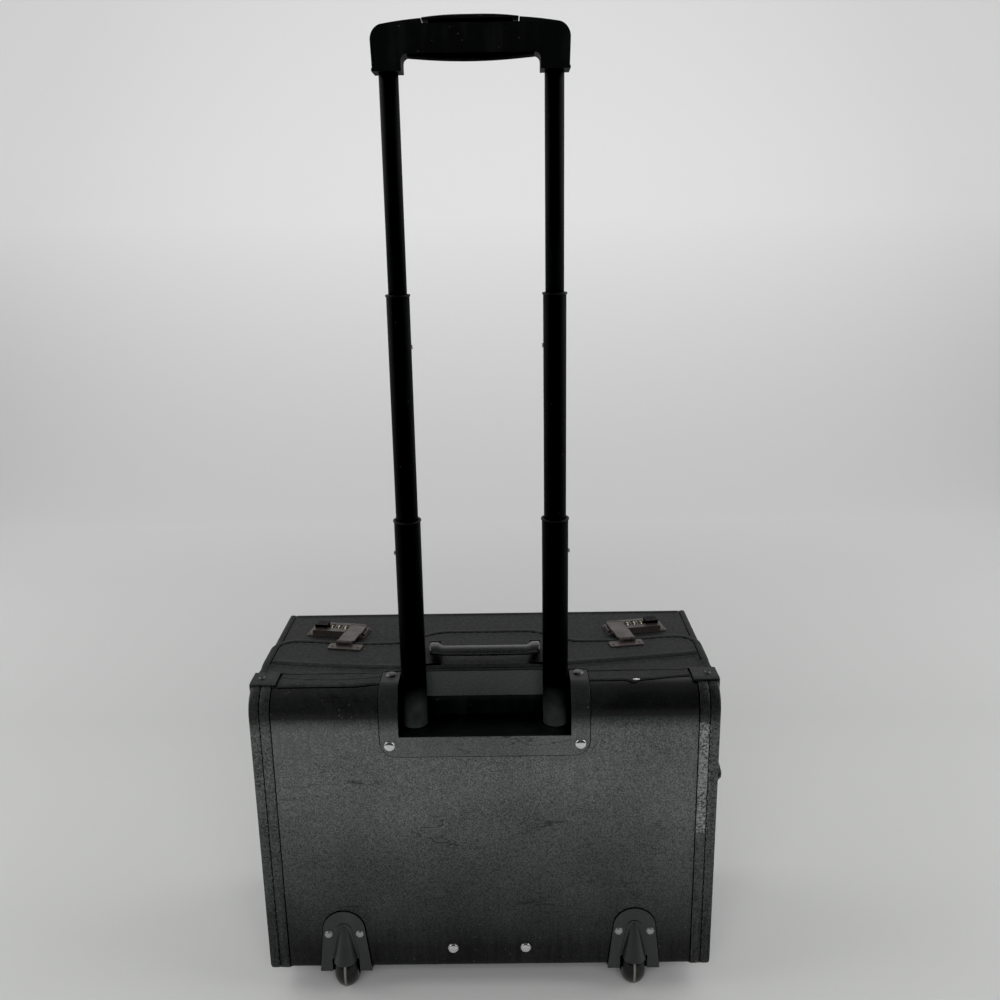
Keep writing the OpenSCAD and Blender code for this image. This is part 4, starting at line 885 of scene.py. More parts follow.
class CASE_OT_bindings(bpy.types.Operator):
    """Adds the bound side edges with their valleys and stitches"""

    bl_idname = "briefcase.bindings"
    bl_label = "Bound edges"

    def execute(self, context):
        make_materials()
        line = outline()
        for side, sign in SIDES:
            strip = self.strip(line, sign)
            piece(f"bound_edge_{side}", strip, "case", "strip", (f"edge_binding_{side}",),
                  sharp=50.0)
            stitches = self.stitches(line, sign, context.scene.briefcase_sizes)
            piece(f"edge_stitches_{side}", stitches, "case", "thread", sharp=180.0)
            # painted shade lines beside the binding and in its valley
            piece(f"edge_shade_lines_{side}", self.shade_lines(sign), "case", "paint", sharp=180.0)
        return {"FINISHED"}

    def strip(self, line, sign):
        """The bound strip of one side, whose inner edge is cut a little unevenly."""
        section = BINDING_SECTION + BINDING_SECTION[:1]
        rng = random.Random(11 + sign)
        wobble = [rng.uniform(-0.12, 0.12) for _ in line]

        def spot(i, j):
            y, z, ny, nz, _ = line[i]
            out, up = section[j]
            across = out + (wobble[i] if out < -15.0 else 0.0)
            deep = max(up, -LOW_RADIUS)
            return at(sign * (HALF + across), y + ny * deep, z + nz * deep)

        bm = formed(len(line) - 1, len(section) - 1, spot)
        bmesh.ops.remove_doubles(bm, verts=bm.verts, dist=2e-6)
        bmesh.ops.holes_fill(bm, edges=rims(bm), sides=0)
        return bm

    def stitches(self, line, sign, sizes):
        """Stitches in the valleys of both faces, left out under the corner tab."""
        rear, front, low = BACK + 9.0 * MM, at(0, TAB_FRONT, 0).y, at(0, 0, TOP - 18.0).z

        def under_tab(spot):
            return rear < spot.y < front and spot.z > low

        bm = bmesh.new()
        stitch_line(bm, edge_points(line, sign, BACK_VALLEY, 0.7), edge_ups(line), sizes, skip=under_tab)
        sideways = [Vector((sign, 0, 0))] * len(line)
        stitch_line(bm, edge_points(line, sign, 0.75, SIDE_VALLEY), sideways, sizes, skip=under_tab)
        return bm

    def shade_lines(self, sign):
        """Painted shade: dark lines beside the strip and in its valley."""
        line = outline(1.5)
        bm = bmesh.new()
        tape(bm, edge_points(line, sign, -19.3, 0.0, 0.1), edge_ups(line), 1.0, 0.3)
        tape(bm, edge_points(line, sign, BACK_VALLEY, 0.55, 0.4), edge_ups(line), 1.1, 0.12)
        return bm


def patch_outline():
    """The patch's outer edge as (x, length along the skin): down its left side, across and up again."""
    low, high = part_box("recess_trim")
    proud, r, top_end = 0.4, 16.4, 43.0
    edge, foot = high.x / MM + proud, (low.z - BASE) / MM - proud
    turns = [math.pi / 2 * i / 10 for i in range(1, 10)]
    right = [(edge, s) for s in spread(along_skin(top_end), foot + r)]
    right += [(edge - r + r * math.cos(a), foot + r - r * math.sin(a)) for a in turns]
    return [(-x, s) for x, s in right] + [(x, foot) for x in spread(r - edge, edge - r)] + right[::-1]


def plate_outline():
    """The rim of a wheel housing's plate, round its own middle: two slanting sides and a round top."""
    foot, foot_half, slant, r = 1.0, 27.4, 5.5, 21.9
    arch = (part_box("wheel_housing_right")[1].z - BASE) / MM - 21.5
    rising, falling = spread(0.0, 1.0, 0.08), spread(1.0, 0.0, 0.08)
    rim = [(foot_half - slant * t, foot + (arch - foot) * t) for t in rising]
    rim += [(r * math.cos(a), arch + r * math.sin(a)) for a in spread(0.1, math.pi - 0.1, 0.14)]
    return rim + [(slant * t - foot_half, foot + (arch - foot) * t) for t in falling]


class CASE_OT_patches(bpy.types.Operator):
    """Adds the riveted patch round the recess, the corner tabs, the end tab and the case rivets"""

    bl_idname = "briefcase.patches"
    bl_label = "Patches and rivets"

    def execute(self, context):
        make_materials()
        dressed("recess_patch", "recess_trim", "patch", edge=0.45)
        dressed("strap_loop", "end_tab", "strip", edge=0.4)
        for side, _ in SIDES:
            dressed(f"tab_{side}", f"corner_tab_{side}", "tab", edge=0.5)
        self.case_rivets()
        self.tab_rivets()
        self.painted_edge_shadows()
        return {"FINISHED"}

    def case_rivets(self):
        """Bright rivets on the patch's face and low on the back, and duller ones on the patch's top, darkened
        as painted shade.
        """
        low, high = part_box("chrome_rivets")
        x, low_x, top_y = high.x / MM - RIVET_WIDTH / 2, 37.6, 38.0
        low_z = (low.z - BASE) / MM + RIVET_WIDTH / 2
        recess_height, patch_width, down_share = 47.0, 21.0, 0.42
        patch_z = TOP - recess_height - patch_width * down_share
        bright, duller = [], []
        for s in (-1, 1):
            bright.append((at(s * x, -PATCH_THICK, patch_z), BACKWARDS))
            bright.append((at(s * low_x, 0.0, low_z), BACKWARDS))
            duller.append((at(s * x, top_y, TOP + PATCH_THICK), UP))
        for name, look, spots in (("case_rivets", "chrome", bright), ("top_rivets", "grey", duller)):
            bm = bmesh.new()
            for spot, up in spots:
                rivet_head(bm, spot, up, RIVET_WIDTH, RIVET_HEIGHT)
            piece(name, bm, "case", look, ("chrome_rivets",), sharp=50.0)

    def tab_rivets(self):
        """The small dished rivets of the corner tabs."""
        bm = bmesh.new()
        low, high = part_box("corner_tab_rivets")
        width, height = 7.5, 1.4
        for s in (-1, 1):
            x = s * (high.x - width / 2 * MM)
            spot = Vector((x, (low.y + high.y) / 2, high.z - height * MM))
            rivet_head(bm, spot, UP, width, height, dish=True)
        piece("tab_rivets", bm, "case", "housing", ("corner_tab_rivets",), sharp=50.0)

    def painted_edge_shadows(self):
        """Painted shadow lines round the edges of the patch and of the wheel housings' plates."""
        bm, width, height = bmesh.new(), 0.9, 0.5
        skin_tape(bm, patch_outline(), width, height)
        wheel = middle_of("wheel_housing_right").x / MM
        for s in (-1, 1):
            skin_tape(bm, [(s * wheel + x, z) for x, z in plate_outline()], width, height)
        piece("painted_edge_shadows", bm, "case", "paint", sharp=180.0)


# The flap, its hinge leather and the lid


def ear_front(a, inset=0.0):
    """Front edge of a rounded ear, drawn in by inset, at a distance a from the middle."""
    across = a - (HALF - EAR_RADIUS)
    return EAR_DEPTH + math.sqrt(max(0.0, (EAR_RADIUS - inset) ** 2 - across**2))


def reach(x):
    """Front edge of the flap at a distance x from the middle: a tongue, two dips and rounded ears."""
    a = abs(x)
    ear = HALF - EAR_RADIUS
    if a > ear:
        return ear_front(a)
    if a < TONGUE_HALF:
        return TONGUE_FRONT
    if a < DIP_START:
        fall = smooth((a - TONGUE_HALF) / (DIP_START - TONGUE_HALF))
        return TONGUE_FRONT - (TONGUE_FRONT - DIP_FRONT) * fall
    if a < DIP_END:
        return DIP_FRONT
    rise = smooth((a - DIP_END) / (ear - DIP_END))
    return DIP_FRONT + (EAR_DEPTH + EAR_RADIUS - DIP_FRONT) * rise


def crease(x, bow):
    """Depth of the flap's crease, which runs forward towards its ends, sooner on the right."""
    start, length, power, share = (45.0, 182.0, 1.15, 1.3) if x > 0 else (70.0, 157.0, 1.9, 0.85)
    t = max(0.0, (abs(x) - start) / length)
    return CREASE_DEPTH + bow * share * t**power


def edge_distance(points, border):
    """Distance of each point to the nearest segment of a border line."""
    best = np.full(len(points), 1e9)
    for a, b in zip(border[:-1], border[1:]):
        d = b - a
        t = np.clip(((points - a) @ d) / max(d @ d, 1e-9), 0, 1)
        best = np.minimum(best, np.linalg.norm(points - (a + t[:, None] * d), axis=1))
    return best


def bead_profile(d, width):
    """Height over the flap's face at a distance d from its bound edge: a rounded bead and a groove."""
    lip, groove, fade, rise = 0.9, 2.2, 6.0, 0.35
    if d < lip:
        return rise - 1.1 * (1 - d / lip) ** 2
    if d < width:
        return rise + 0.75 * math.sin(math.pi * min(1.0, (d - lip) / (width - lip))) ** 0.6
    if d < width + groove:
        return rise - 0.9 * math.sin(math.pi * (d - width) / groove)
    return rise * max(0.0, 1.0 - (d - width - groove) / fade)


FLAP_SIDES = [0, 0.25, 0.6, 1.0, 1.6, 2.4, 3.3, 4.3, 5.3, 6.1, 6.6, 7.0, 7.5, 8.1, 8.8, 10, 12, 14, 16.5, 19,
              21.5, 24]  # columns near a side, in from it
FLAP_FOLD = [-8, -6, -4.5, -3, -2, -1.2, -0.5, 0.2, 1, 2, 3.2, 4.6, 6.5, 9]  # rows about the crease
FLAP_FRONT = [17, 14, 11.5, 10, 8.8, 8.1, 7.5, 7.0, 6.6, 6.1, 5.3, 4.3, 3.3, 2.4, 1.6, 1.0, 0.6, 0.25,
              0]  # rows near the front edge, back from it
ROOT_ROWS, MIDDLE_ROWS, FLAP_COLUMNS = 3, 9, 66
FLAP_REAR = TAB_FRONT + 0.6


def flap_root(x):
    """Depth at which the flap's leather starts: outside the band, under it, or at the handle's bay."""
    band_end, bay_half, under_band, at_bay = 203.2, 103.3, 42.5, 46.2
    if abs(x) > band_end:
        return FLAP_REAR
    return under_band if abs(x) > bay_half else at_bay


def flap_rows(x, bow):
    """Depths of the flap's rows at a distance x from the middle, from its root to its front edge."""
    fold_y, front, root = crease(x, bow), reach(x), flap_root(x)
    lead = max(0.0, fold_y + FLAP_FOLD[0] - root)
    rows = [root + lead * i / ROOT_ROWS for i in range(ROOT_ROWS)]
    rows += [max(root, fold_y + f) for f in FLAP_FOLD]
    low, high = fold_y + FLAP_FOLD[-1], front - FLAP_FRONT[0]
    rows += [low + (high - low) * i / MIDDLE_ROWS for i in range(1, MIDDLE_ROWS)]
    return rows + [front - f for f in FLAP_FRONT]


def flap_form(bead, bow):
    """The flap's columns and rows, and functions for a point of its upper and its under side."""
    inner = HALF - EAR_RADIUS
    xs = [-HALF + d for d in FLAP_SIDES]
    xs += [-inner + 2 * inner * i / FLAP_COLUMNS for i in range(1, FLAP_COLUMNS)]
    xs += [HALF - d for d in reversed(FLAP_SIDES)]
    table = [flap_rows(x, bow) for x in xs]
    rim_line = [(-HALF, FLAP_REAR)] + [(x, reach(x)) for x in xs] + [(HALF, FLAP_REAR)]
    points = np.array([[x, y] for x, rows in zip(xs, table) for y in rows])
    off_edge = edge_distance(points, [np.array(p) for p in rim_line]).reshape(len(xs), len(table[0]))
    rng = np.random.default_rng(5)
    waves = [(rng.uniform(0.01, 0.03), rng.uniform(0.015, 0.05), rng.uniform(0, 6.28), rng.uniform(0, 6.28))
             for _ in range(5)]

    def sag(x, y):
        """Slow waves of the leather over its board."""
        return sum(0.09 * math.sin(x * a + p) * math.cos(y * b + q) for a, b, p, q in waves)

    def upper(i, j):
        """The worn face: low at the root, pressed in at the crease, up over the board, and its bead."""
        x, y = xs[i], table[i][j]
        past = y - crease(x, bow)
        side = smooth((HALF - abs(x) - bead - 1.0) / 5.0)
        root = 1.25 + 1.15 * smooth((past + 7.0) / 6.0)
        board = FLAP_THICK * smooth(past / 2.6 + 0.3)
        lift = max(board, root) if past > 0 else root
        lift -= 0.85 * math.exp(-((past + 0.6) / 1.1) ** 2) * side
        lift += 0.35 * math.exp(-((past - 4.2) / 1.6) ** 2) * side
        slope = FLAP_THICK * smooth((y - FLAP_REAR) / 22.0)
        body = lift * side + max(1.5, slope) * (1 - side)
        rim = bead_profile(off_edge[i][j], bead) * (0.55 + 0.45 * smooth((y - FLAP_REAR) / 10.0))
        return at(x, y, TOP + FLAP_SEAT + body + rim + sag(x, y) * side)

    def under(i, j):
        """The underside, a millimetre up behind the hinge line."""
        y, hinge_line = table[i][j], 52.6
        return at(xs[i], y, TOP + FLAP_SEAT + (1.0 if y < hinge_line else 0.02))

    return xs, len(table[0]), upper, under


BAND_OUTER, BAND_INNER, BAND_STEPS = 202.6, 102.9, 60
BAND_RIM = (0.0, 0.35, 0.8, 1.5, 2.4)  # rows near the band's worn edge, in from it


def band_point(i, j, s, raised):
    """A point of the band that the flap hangs from: its face if raised, else the skin under it."""
    x = s * (BAND_INNER + (BAND_OUTER - BAND_INNER) * i / BAND_STEPS)
    ragged = 0.2 * math.sin(x * 0.9) * math.sin(x * 0.23 + 1.0) + 0.25
    if s > 0:
        edge = BAND_BACK + 5.0 + 7.5 * smooth((x - 150.0) / 55.0)
        edge -= 4.2 * math.exp(-((x - 146.0) / 5.0) ** 2) - ragged
        fold_y = 42.0 + 6.0 * smooth((x - 105.0) / 80.0)
    else:
        edge = BAND_BACK + ragged + 3.0 * smooth((x + 130.0) / 28.0)
        fold_y = 30.0 + 6.0 * ((abs(x) - 150.0) / 52.0) ** 2
    near = len(BAND_RIM)
    if j < near:
        y = edge + BAND_RIM[j]
    else:
        start = edge + BAND_RIM[-1]
        y = start + (CREASE_DEPTH - start) * (j - near + 1) / (BAND_STEPS - near + 1)
    z, t = skin_height(y), 0.0
    if raised:
        t = 0.3 + 0.9 * smooth((y - edge) / 1.3) + 0.28 * math.exp(-((y - fold_y) / 0.8) ** 2)
        t -= 0.4 * math.exp(-((y - fold_y + 1.7) / 0.8) ** 2)
    away_y = min(0.0, (y - TOP_RADIUS) / TOP_RADIUS)
    away_z = (z - TOP + TOP_RADIUS) / TOP_RADIUS
    return at(x, y + away_y * t, z + away_z * t)


class CASE_OT_flap(bpy.types.Operator):
    """Adds the rear flap's leather with its bead, crease and board, and the band it hangs from"""

    bl_idname = "briefcase.flap"
    bl_label = "Rear flap"

    def execute(self, context):
        make_materials()
        sizes = context.scene.briefcase_sizes
        bead = sizes.bead_width / MM
        self.leather(bead, sizes.crease_bow / MM)
        self.bead_seam(bead, sizes)
        bm = bmesh.new()
        block(bm, at(6.0 - HALF, 53.6, TOP - BOARD_UNDER), at(HALF - 6.0, 102.8, TOP + 0.28), 0.0012)
        weigh_normals(piece("flap_board", bm, "flap", "cloth"))
        self.band()
        return {"FINISHED"}

    def leather(self, bead, bow):
        """The flap's leather, and a dark line of painted shade in its crease."""
        xs, rows, upper, under = flap_form(bead, bow)
        bm = two_faced(len(xs) - 1, rows - 1, upper, under)
        made = piece("flap_leather", bm, None, "flap", ("rear_flap", "flap_bead"), sharp=60.0)
        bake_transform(made)
        bm = bmesh.new()
        row = ROOT_ROWS + FLAP_FOLD.index(-0.5)
        line = [upper(i, row) for i, x in enumerate(xs) if abs(x) < HALF - bead - 2.0]
        # painted shade in the crease
        tape(bm, line, [UP] * len(line), 1.4, 0.22)
        line = piece("crease_line", bm, None, "paint", sharp=180.0)
        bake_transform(line)

    def bead_seam(self, bead, sizes):
        """Stitches, and a dark line of painted shade along the bead's groove."""
        z = TOP + FLAP_SEAT + FLAP_THICK + 0.15
        inset = bead + 1.1
        side, ear = HALF - inset, HALF - EAR_RADIUS
        run = [at(-side, 62 + 4 * k, z) for k in range(10)]
        for x in spread(-side, side, 2 * side / 399):
            y = reach(x) - inset if abs(x) <= ear else ear_front(abs(x), inset)
            run.append(at(x, y, z))
        run += [at(side, 98 - 4 * k, z) for k in range(10)]
        bm = bmesh.new()
        stitch_line(bm, run, [UP] * len(run), sizes)
        piece("flap_stitches", bm, "flap", "thread", sharp=180.0)
        bm = bmesh.new()
        # painted shade in the bead's groove
        tape(bm, [p - UP * 0.5 * MM for p in run], [UP] * len(run), 1.3, 0.25)
        piece("flap_line", bm, "flap", "paint", sharp=180.0)

    def band(self):
        """The band on both sides of the bay, its shadow line, and a chip of bare board at its worn end."""
        bm, shadow = bmesh.new(), bmesh.new()
        for s in (-1, 1):
            add_part(bm, two_faced(BAND_STEPS, BAND_STEPS, lambda i, j, s=s: band_point(i, j, s, True),
                                   lambda i, j, s=s: band_point(i, j, s, False)))
            rim = [band_point(i, 0, s, False) for i in range(BAND_STEPS + 1)]
            path = [(p.x / MM, along_skin((p.y - BACK) / MM - 0.55)) for p in rim]
            skin_tape(shadow, path, 1.4, 0.3)
        piece("hanging_band", bm, "case", "flap", ("hinge_band",), sharp=50.0)
        piece("band_shadow", shadow, "case", "paint", sharp=180.0)
        chip = bmesh.new()
        bmesh.ops.create_icosphere(chip, subdivisions=2, radius=1.0)
        spot, up = on_back(149.0, along_skin(BAND_BACK + 5.2), 1.1)
        turn = up.to_track_quat("Z", "Y").to_matrix().to_4x4()
        chip.transform(Matrix.Translation(spot) @ turn @ Matrix.Diagonal((0.0036, 0.0013, 0.0006, 1.0)))
        piece("bare_chip", chip, "case", "pale", sharp=30.0)


LID_BACK, LID_BEAD = 104.0, 5.6
LID_SIDES = [0, 0.3, 0.7, 1.2, 2, 3, 4, 5, 5.8, 6.4, 7, 7.6, 8.4, 10]  # columns near a side, in from it
LID_FRONT = (9, 8, 7.2, 6.6, 6, 5, 4, 3, 2, 1.2, 0.7, 0.3, 0)  # rows near the front, back from it


class CASE_OT_lid(bpy.types.Operator):
    """Adds the front lid with its bound sides"""

    bl_idname = "briefcase.lid"
    bl_label = "Front lid"

    def execute(self, context):
        make_materials()
        piece("lid_leather", self.leather(), "lid", "flap", ("front_lid",), sharp=60.0)
        stitches, lines = bmesh.new(), bmesh.new()
        for s in (-1, 1):
            run = [at(s * (HALF - 6.8), 130.0 + 4 * k, TOP + 0.05) for k in range(17)]
            stitch_line(stitches, run, [UP] * len(run), context.scene.briefcase_sizes)
            # painted shade: a dark line along each side bead's groove
            run = [at(s * (HALF - 6.6), 126.0 + 4 * k, TOP - 0.3) for k in range(18)]
            tape(lines, run, [UP] * len(run), 1.0, 0.25)
        piece("lid_stitches", stitches, "lid", "thread", sharp=180.0)
        piece("lid_lines", lines, "lid", "paint", sharp=180.0)
        return {"FINISHED"}

    def leather(self):
        """The lid with its beads at the sides and the front."""
        inner = HALF - 14.0
        xs = [-HALF + d for d in LID_SIDES] + [-inner + 2 * inner * i / 40 for i in range(41)]
        xs += [HALF - d for d in reversed(LID_SIDES)]
        front, first = DEPTH - 0.3, LID_BACK + 1.0
        ys = [LID_BACK, first] + [first + (front - first - 10.0) * i / 16 for i in range(1, 17)]
        ys += [front - d for d in LID_FRONT]

        def upper(i, j):
            x, y = xs[i], ys[j]
            side, far = HALF - abs(x), front - y
            rim = bead_profile(side, LID_BEAD)
            if far < 12 and side > 8:
                rim = max(rim, bead_profile(far, LID_BEAD))
            if side > 8 and far > 8:
                rim = 0.0
            if min(side, far) < 0.9:
                rim = min(rim, bead_profile(min(side, far), LID_BEAD))
            swell = 0.25 * math.sin(math.pi * (y - LID_BACK) / (front - LID_BACK)) * smooth(side / 60.0)
            return at(x, y, TOP + rim * 0.8 + swell - (0.1 if y < 130 else 0.0))

        return two_faced(len(xs) - 1, len(ys) - 1, upper, lambda i, j: at(xs[i], ys[j], TOP - BOARD_UNDER))


# Handles, locks and wheels


GRIP_ENDS = [0.0, 0.15, 0.4, 0.8, 1.4, 2.2, 3.2, 4.6, 6.2, 8.0, 9.5, 11.0, 12.5, 14.0, 16.0,
             18.5]  # rings near an end of the carry handle, in from it


class CASE_OT_carry_handle(bpy.types.Operator):
    """Adds the moulded carry handle with its end blocks, arms and brackets"""

    bl_idname = "briefcase.carry_handle"
    bl_label = "Carry handle"

    def execute(self, context):
        make_materials()
        low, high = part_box("carry_handle")
        end, rear, top = high.x / MM, (low.y - BACK) / MM, (high.z - BASE) / MM
        grip = self.grip(end, rear, top - 11.0)
        piece("carry_grip", grip, "carry", "handle", ("carry_handle",), sharp=60.0)
        eye = 4.6
        arms = self.arms(end - 5.3, rear + 17.0, (high.y - BACK) / MM - eye, top - 8.5, eye)
        weigh_normals(piece("carry_arms", arms, "carry", "collar"))
        dressed("handle_brackets", "carry_brackets", "collar", edge=0.3)
        return {"FINISHED"}

    def grip(self, end, rear, low):
        """The bar and its end blocks: rings of a rounded section that grows and closes at the ends."""
        inner = end - 22.0
        xs = [-end + d for d in GRIP_ENDS] + [-inner + 2 * inner * i / 20 for i in range(21)]
        xs += [end - d for d in reversed(GRIP_ENDS)]
        ring, closing = 28, 2.4

        def spot(i, j):
            x = xs[i]
            off_end = end - abs(x)
            block_share = 1.0 - smooth((off_end - 8.0) / 6.5)
            y0, y1 = rear + 0.4 * block_share, rear + 15.0 + 5.4 * block_share
            z0 = low + 1.0 * (x / end) ** 2 + 0.4 * block_share
            z1 = low + 9.0 + 2.0 * block_share
            power = 2.3 + 0.5 * block_share
            shrink = 1.0
            if off_end < closing:
                shrink = max(0.0, 1.0 - ((closing - off_end) / closing) ** 2.4) ** (1 / 2.4)
            a = math.tau * (j % ring) / ring
            cs, sn = math.cos(a), math.sin(a)
            out = (abs(cs) ** power + abs(sn) ** power) ** (-1 / power)
            lean = 1.2 * block_share * max(0.0, sn) * (1.0 if cs > 0 else 0.4)
            y = (y0 + y1) / 2 + (y1 - y0) / 2 * cs * out * shrink - lean
            z = (z0 + z1) / 2 + (z1 - z0) / 2 * sn * out * shrink
            if block_share < 0.5 and sn < 0:
                z += 0.35 * math.exp(-((cs * out) / 0.22) ** 2)
            return at(x, y, z)

        bm = formed(len(xs) - 1, ring, spot)
        bmesh.ops.remove_doubles(bm, verts=bm.verts, dist=1e-6)
        return bm

    def arms(self, x, rear, pivot_y, pivot_z, eye):
        """An arm from each end block to its pivot, with a round eye there."""
        bm = bmesh.new()
        half = [(eye, 2.6), (4.2, 3.0), (2.6, 3.0), (2.2, 2.9)]
        section = [(r, -h) for r, h in reversed(half)] + half
        for s in (-1, 1):
            turned(section, at(s * x, pivot_y, pivot_z), axis="X", steps=40, bm=bm, closed=True)
            low, high = at(s * x - 2.8, rear, pivot_z - 2.6), at(s * x + 2.8, pivot_y - 2.6, pivot_z + 3.0)
            block(bm, low, high, 0.0007)
        return bm


class CASE_OT_locks(bpy.types.Operator):
    """Adds the two combination locks with their hasps, sliders and numbered dials"""

    bl_idname = "briefcase.locks"
    bl_label = "Combination locks"

    def execute(self, context):
        make_materials()
        dressed("hasp_plates", "hasp_bases", "bronze", edge=0.22)
        for side, sign in SIDES:
            dressed(f"lock_case_{side}", f"lock_body_{side}", "bronze", edge=0.3)
            dressed(f"lock_hasp_{side}", f"hasp_{side}", "bronze", edge=0.3)
            dressed(f"lock_knob_{side}", f"lock_slider_{side}", "collar", edge=0.3)
            for k in (1, 2, 3):
                dressed(f"number_dial_{side}_{k}", f"dial_{side}_{k}", "brass", edge=0.12)
                piece(f"digits_{side}_{k}", self.digits(f"dial_{side}_{k}", sign, 3 * k),
                      f"dial_{side[0]}{k}", "digits", sharp=30.0)
        return {"FINISHED"}

    def digits(self, node, sign, first):
        """Ten digits round a dial's rim, the one on top upright for a reader behind the case."""
        points = np.array([v.co for v in frame["nodes"][node].data.vertices])
        low, high = points.min(0), points.max(0)
        centre, radius = Vector((low + high) / 2), (high[2] - low[2]) / 2
        # each text lies in its own plane: X along the dial's axle, Y away from the reader, Z out of the rim
        head = Matrix.Translation(centre) @ Matrix.Rotation(sign * math.radians(LOCK_TURN), 4, "Z")
        upright = Matrix.Translation((0, 0, radius + 0.02 * MM))
        bm = bmesh.new()
        for n in range(10):
            curve = bpy.data.curves.new("digit", "FONT")
            curve.body = str((n + first) % 10)
            curve.size = 3.4 * MM
            curve.extrude = 0.05 * MM
            curve.align_x, curve.align_y = "CENTER", "CENTER"
            curve.resolution_u = 2
            text = bpy.data.objects.new("digit", curve)
            mesh = bpy.data.meshes.new_from_object(text)
            mesh.transform(head @ Matrix.Rotation(math.tau * n / 10, 4, "X") @ upright)
            bm.from_mesh(mesh)
            bpy.data.meshes.remove(mesh)
            bpy.data.objects.remove(text)
            bpy.data.curves.remove(curve)
        return bm


TUBE_WALL, COLLAR_STEP = 1.2, 0.8  # the wall of a tube, and how far a collar stands out from its tube


class CASE_OT_pull_handle(bpy.types.Operator):
    """Adds the telescopic tubes, their collars, spring buttons, rods and the channels in the case"""

    bl_idname = "briefcase.pull_handle"
    bl_label = "Pull handle"

    def execute(self, context):
        make_materials()
        for stage, look in (("low", "low_tube"), ("mid", "tube")):  # both have holes for spring buttons
            for side, _ in SIDES:
                dressed(f"{stage}_pull_tube_{side}", f"{stage}_tube_{side}", look, edge=0.12)
        for side, _ in SIDES:
            self.top_tube(side)
        self.collars("low", 10.85)
        self.collars("mid", 8.8)
        for side, _ in SIDES:
            dressed(f"guide_{side}", f"channel_{side}", "tube", edge=0.2)
        dressed("foot_bracket", "lower_bracket", "tray", edge=0.3)
        dressed("cross_rods", "release_rods", "dull", edge=0.2)
        for stage in ("low", "mid"):
            for side, _ in SIDES:
                dressed(f"{stage}_spring_button_{side}", f"{stage}_pin_{side}", "dull", edge=0.0)
        return {"FINISHED"}

    def top_tube(self, side):
        """A turned tube of the top stage with its four edges broken."""
        node, c = f"top_tube_{side}", 0.25
        low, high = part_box(node)
        r, z0, z1 = (high.y - low.y) / 2 / MM, low.z / MM, high.z / MM
        bore = r - TUBE_WALL
        profile = [(bore, z0 + c), (bore + c, z0), (r - c, z0), (r, z0 + c), (r, z1 - c), (r - c, z1),
                   (bore + c, z1), (bore, z1 - c)]
        centre = Vector(((low.x + high.x) / 2, (low.y + high.y) / 2, 0))
        bm = turned(profile, centre, steps=72, closed=True)
        piece(f"top_pull_tube_{side}", bm, "top_stage", "tube", (node,), sharp=50.0)

    def collars(self, stage, bore):
        """The two guide collars of a stage, each with a sleeve down into its tube."""
        node, length = f"{stage}_collars", 16
        low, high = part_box(node)
        r, top = (high.y - low.y) / 2 / MM, high.z / MM
        sleeve = r - COLLAR_STEP - TUBE_WALL
        profile = [(bore, top - length), (bore, top - 0.4), (bore + 0.4, top), (r - 0.6, top),
                   (r - 0.15, top - 0.25), (r, top - 0.7), (r, top - 1.6), (r - 0.3, top - 2.0),
                   (sleeve, top - 2.0), (sleeve, top - length)]
        bm = bmesh.new()
        for s in (-1, 1):
            centre = Vector((s * (high.x - r * MM), (low.y + high.y) / 2, 0))
            turned(profile, centre, steps=72, bm=bm, closed=True)
        piece(f"{stage}_stage_collars", bm, f"{stage}_stage", "collar", (node,), sharp=50.0)


BUTTON_HALF = 0.0402  # half the width of the release button's cap over the grip, in metres


class CASE_OT_pull_grip(bpy.types.Operator):
    """Adds the moulded pull grip, its release button and its soft underside"""

    bl_idname = "briefcase.pull_grip"
    bl_label = "Pull grip"

    def execute(self, context):
        make_materials()
        dressed("moulded_grip", "pull_grip", "grip", edge=2.2, segments=4, angle=30.0)
        self.button()
        piece("grip_pad", self.pad(), "top_stage", "pad", sharp=50.0)
        return {"FINISHED"}

    def button(self):
        """The release button, its cap narrowed to the width that it shows over the grip."""
        cap = dressed("push_button", "release_button", "grip", edge=0.5, segments=3)
        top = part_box("release_button")[1].z
        widest = max(v.co.x for v in cap.data.vertices if v.co.z > top - 0.004)
        for v in cap.data.vertices:
            if v.co.z > top - 0.0043:
                v.co.x *= BUTTON_HALF / widest

    def pad(self):
        """The soft sagging underside between the grip's legs, seated against the bar over it."""
        low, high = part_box("pull_grip")
        data = frame["nodes"]["pull_grip"].data
        skin = BVHTree.FromPolygons([v.co for v in data.vertices], [f.vertices[:] for f in data.polygons])
        underside = skin.ray_cast(Vector((0.02, (low.y + high.y) / 2, low.z - 0.01)), UP)[0].z
        legs = min(abs(v.co.x) for v in data.vertices if v.co.z < low.z + 0.02) / MM
        middle, depth = ((low.y + high.y) / 2 - BACK) / MM, (high.y - low.y) / MM
        columns, rows, sunk = 40, 20, 0.6

        def spot(i, j):
            x = legs * (2 * i / columns - 1)
            a = math.pi * j / rows
            sag = 3.2 * (1 - (x / legs) ** 2) + 1.2
            y = middle - (depth / 2 - 0.6) * math.cos(a)
            drop = (sag + sunk) * math.sin(a) ** 0.7 - sunk
            return Vector((x * MM, BACK + y * MM, underside - drop * MM))

        bm = formed(columns, rows, spot)
        bmesh.ops.holes_fill(bm, edges=rims(bm), sides=0)
        return bm


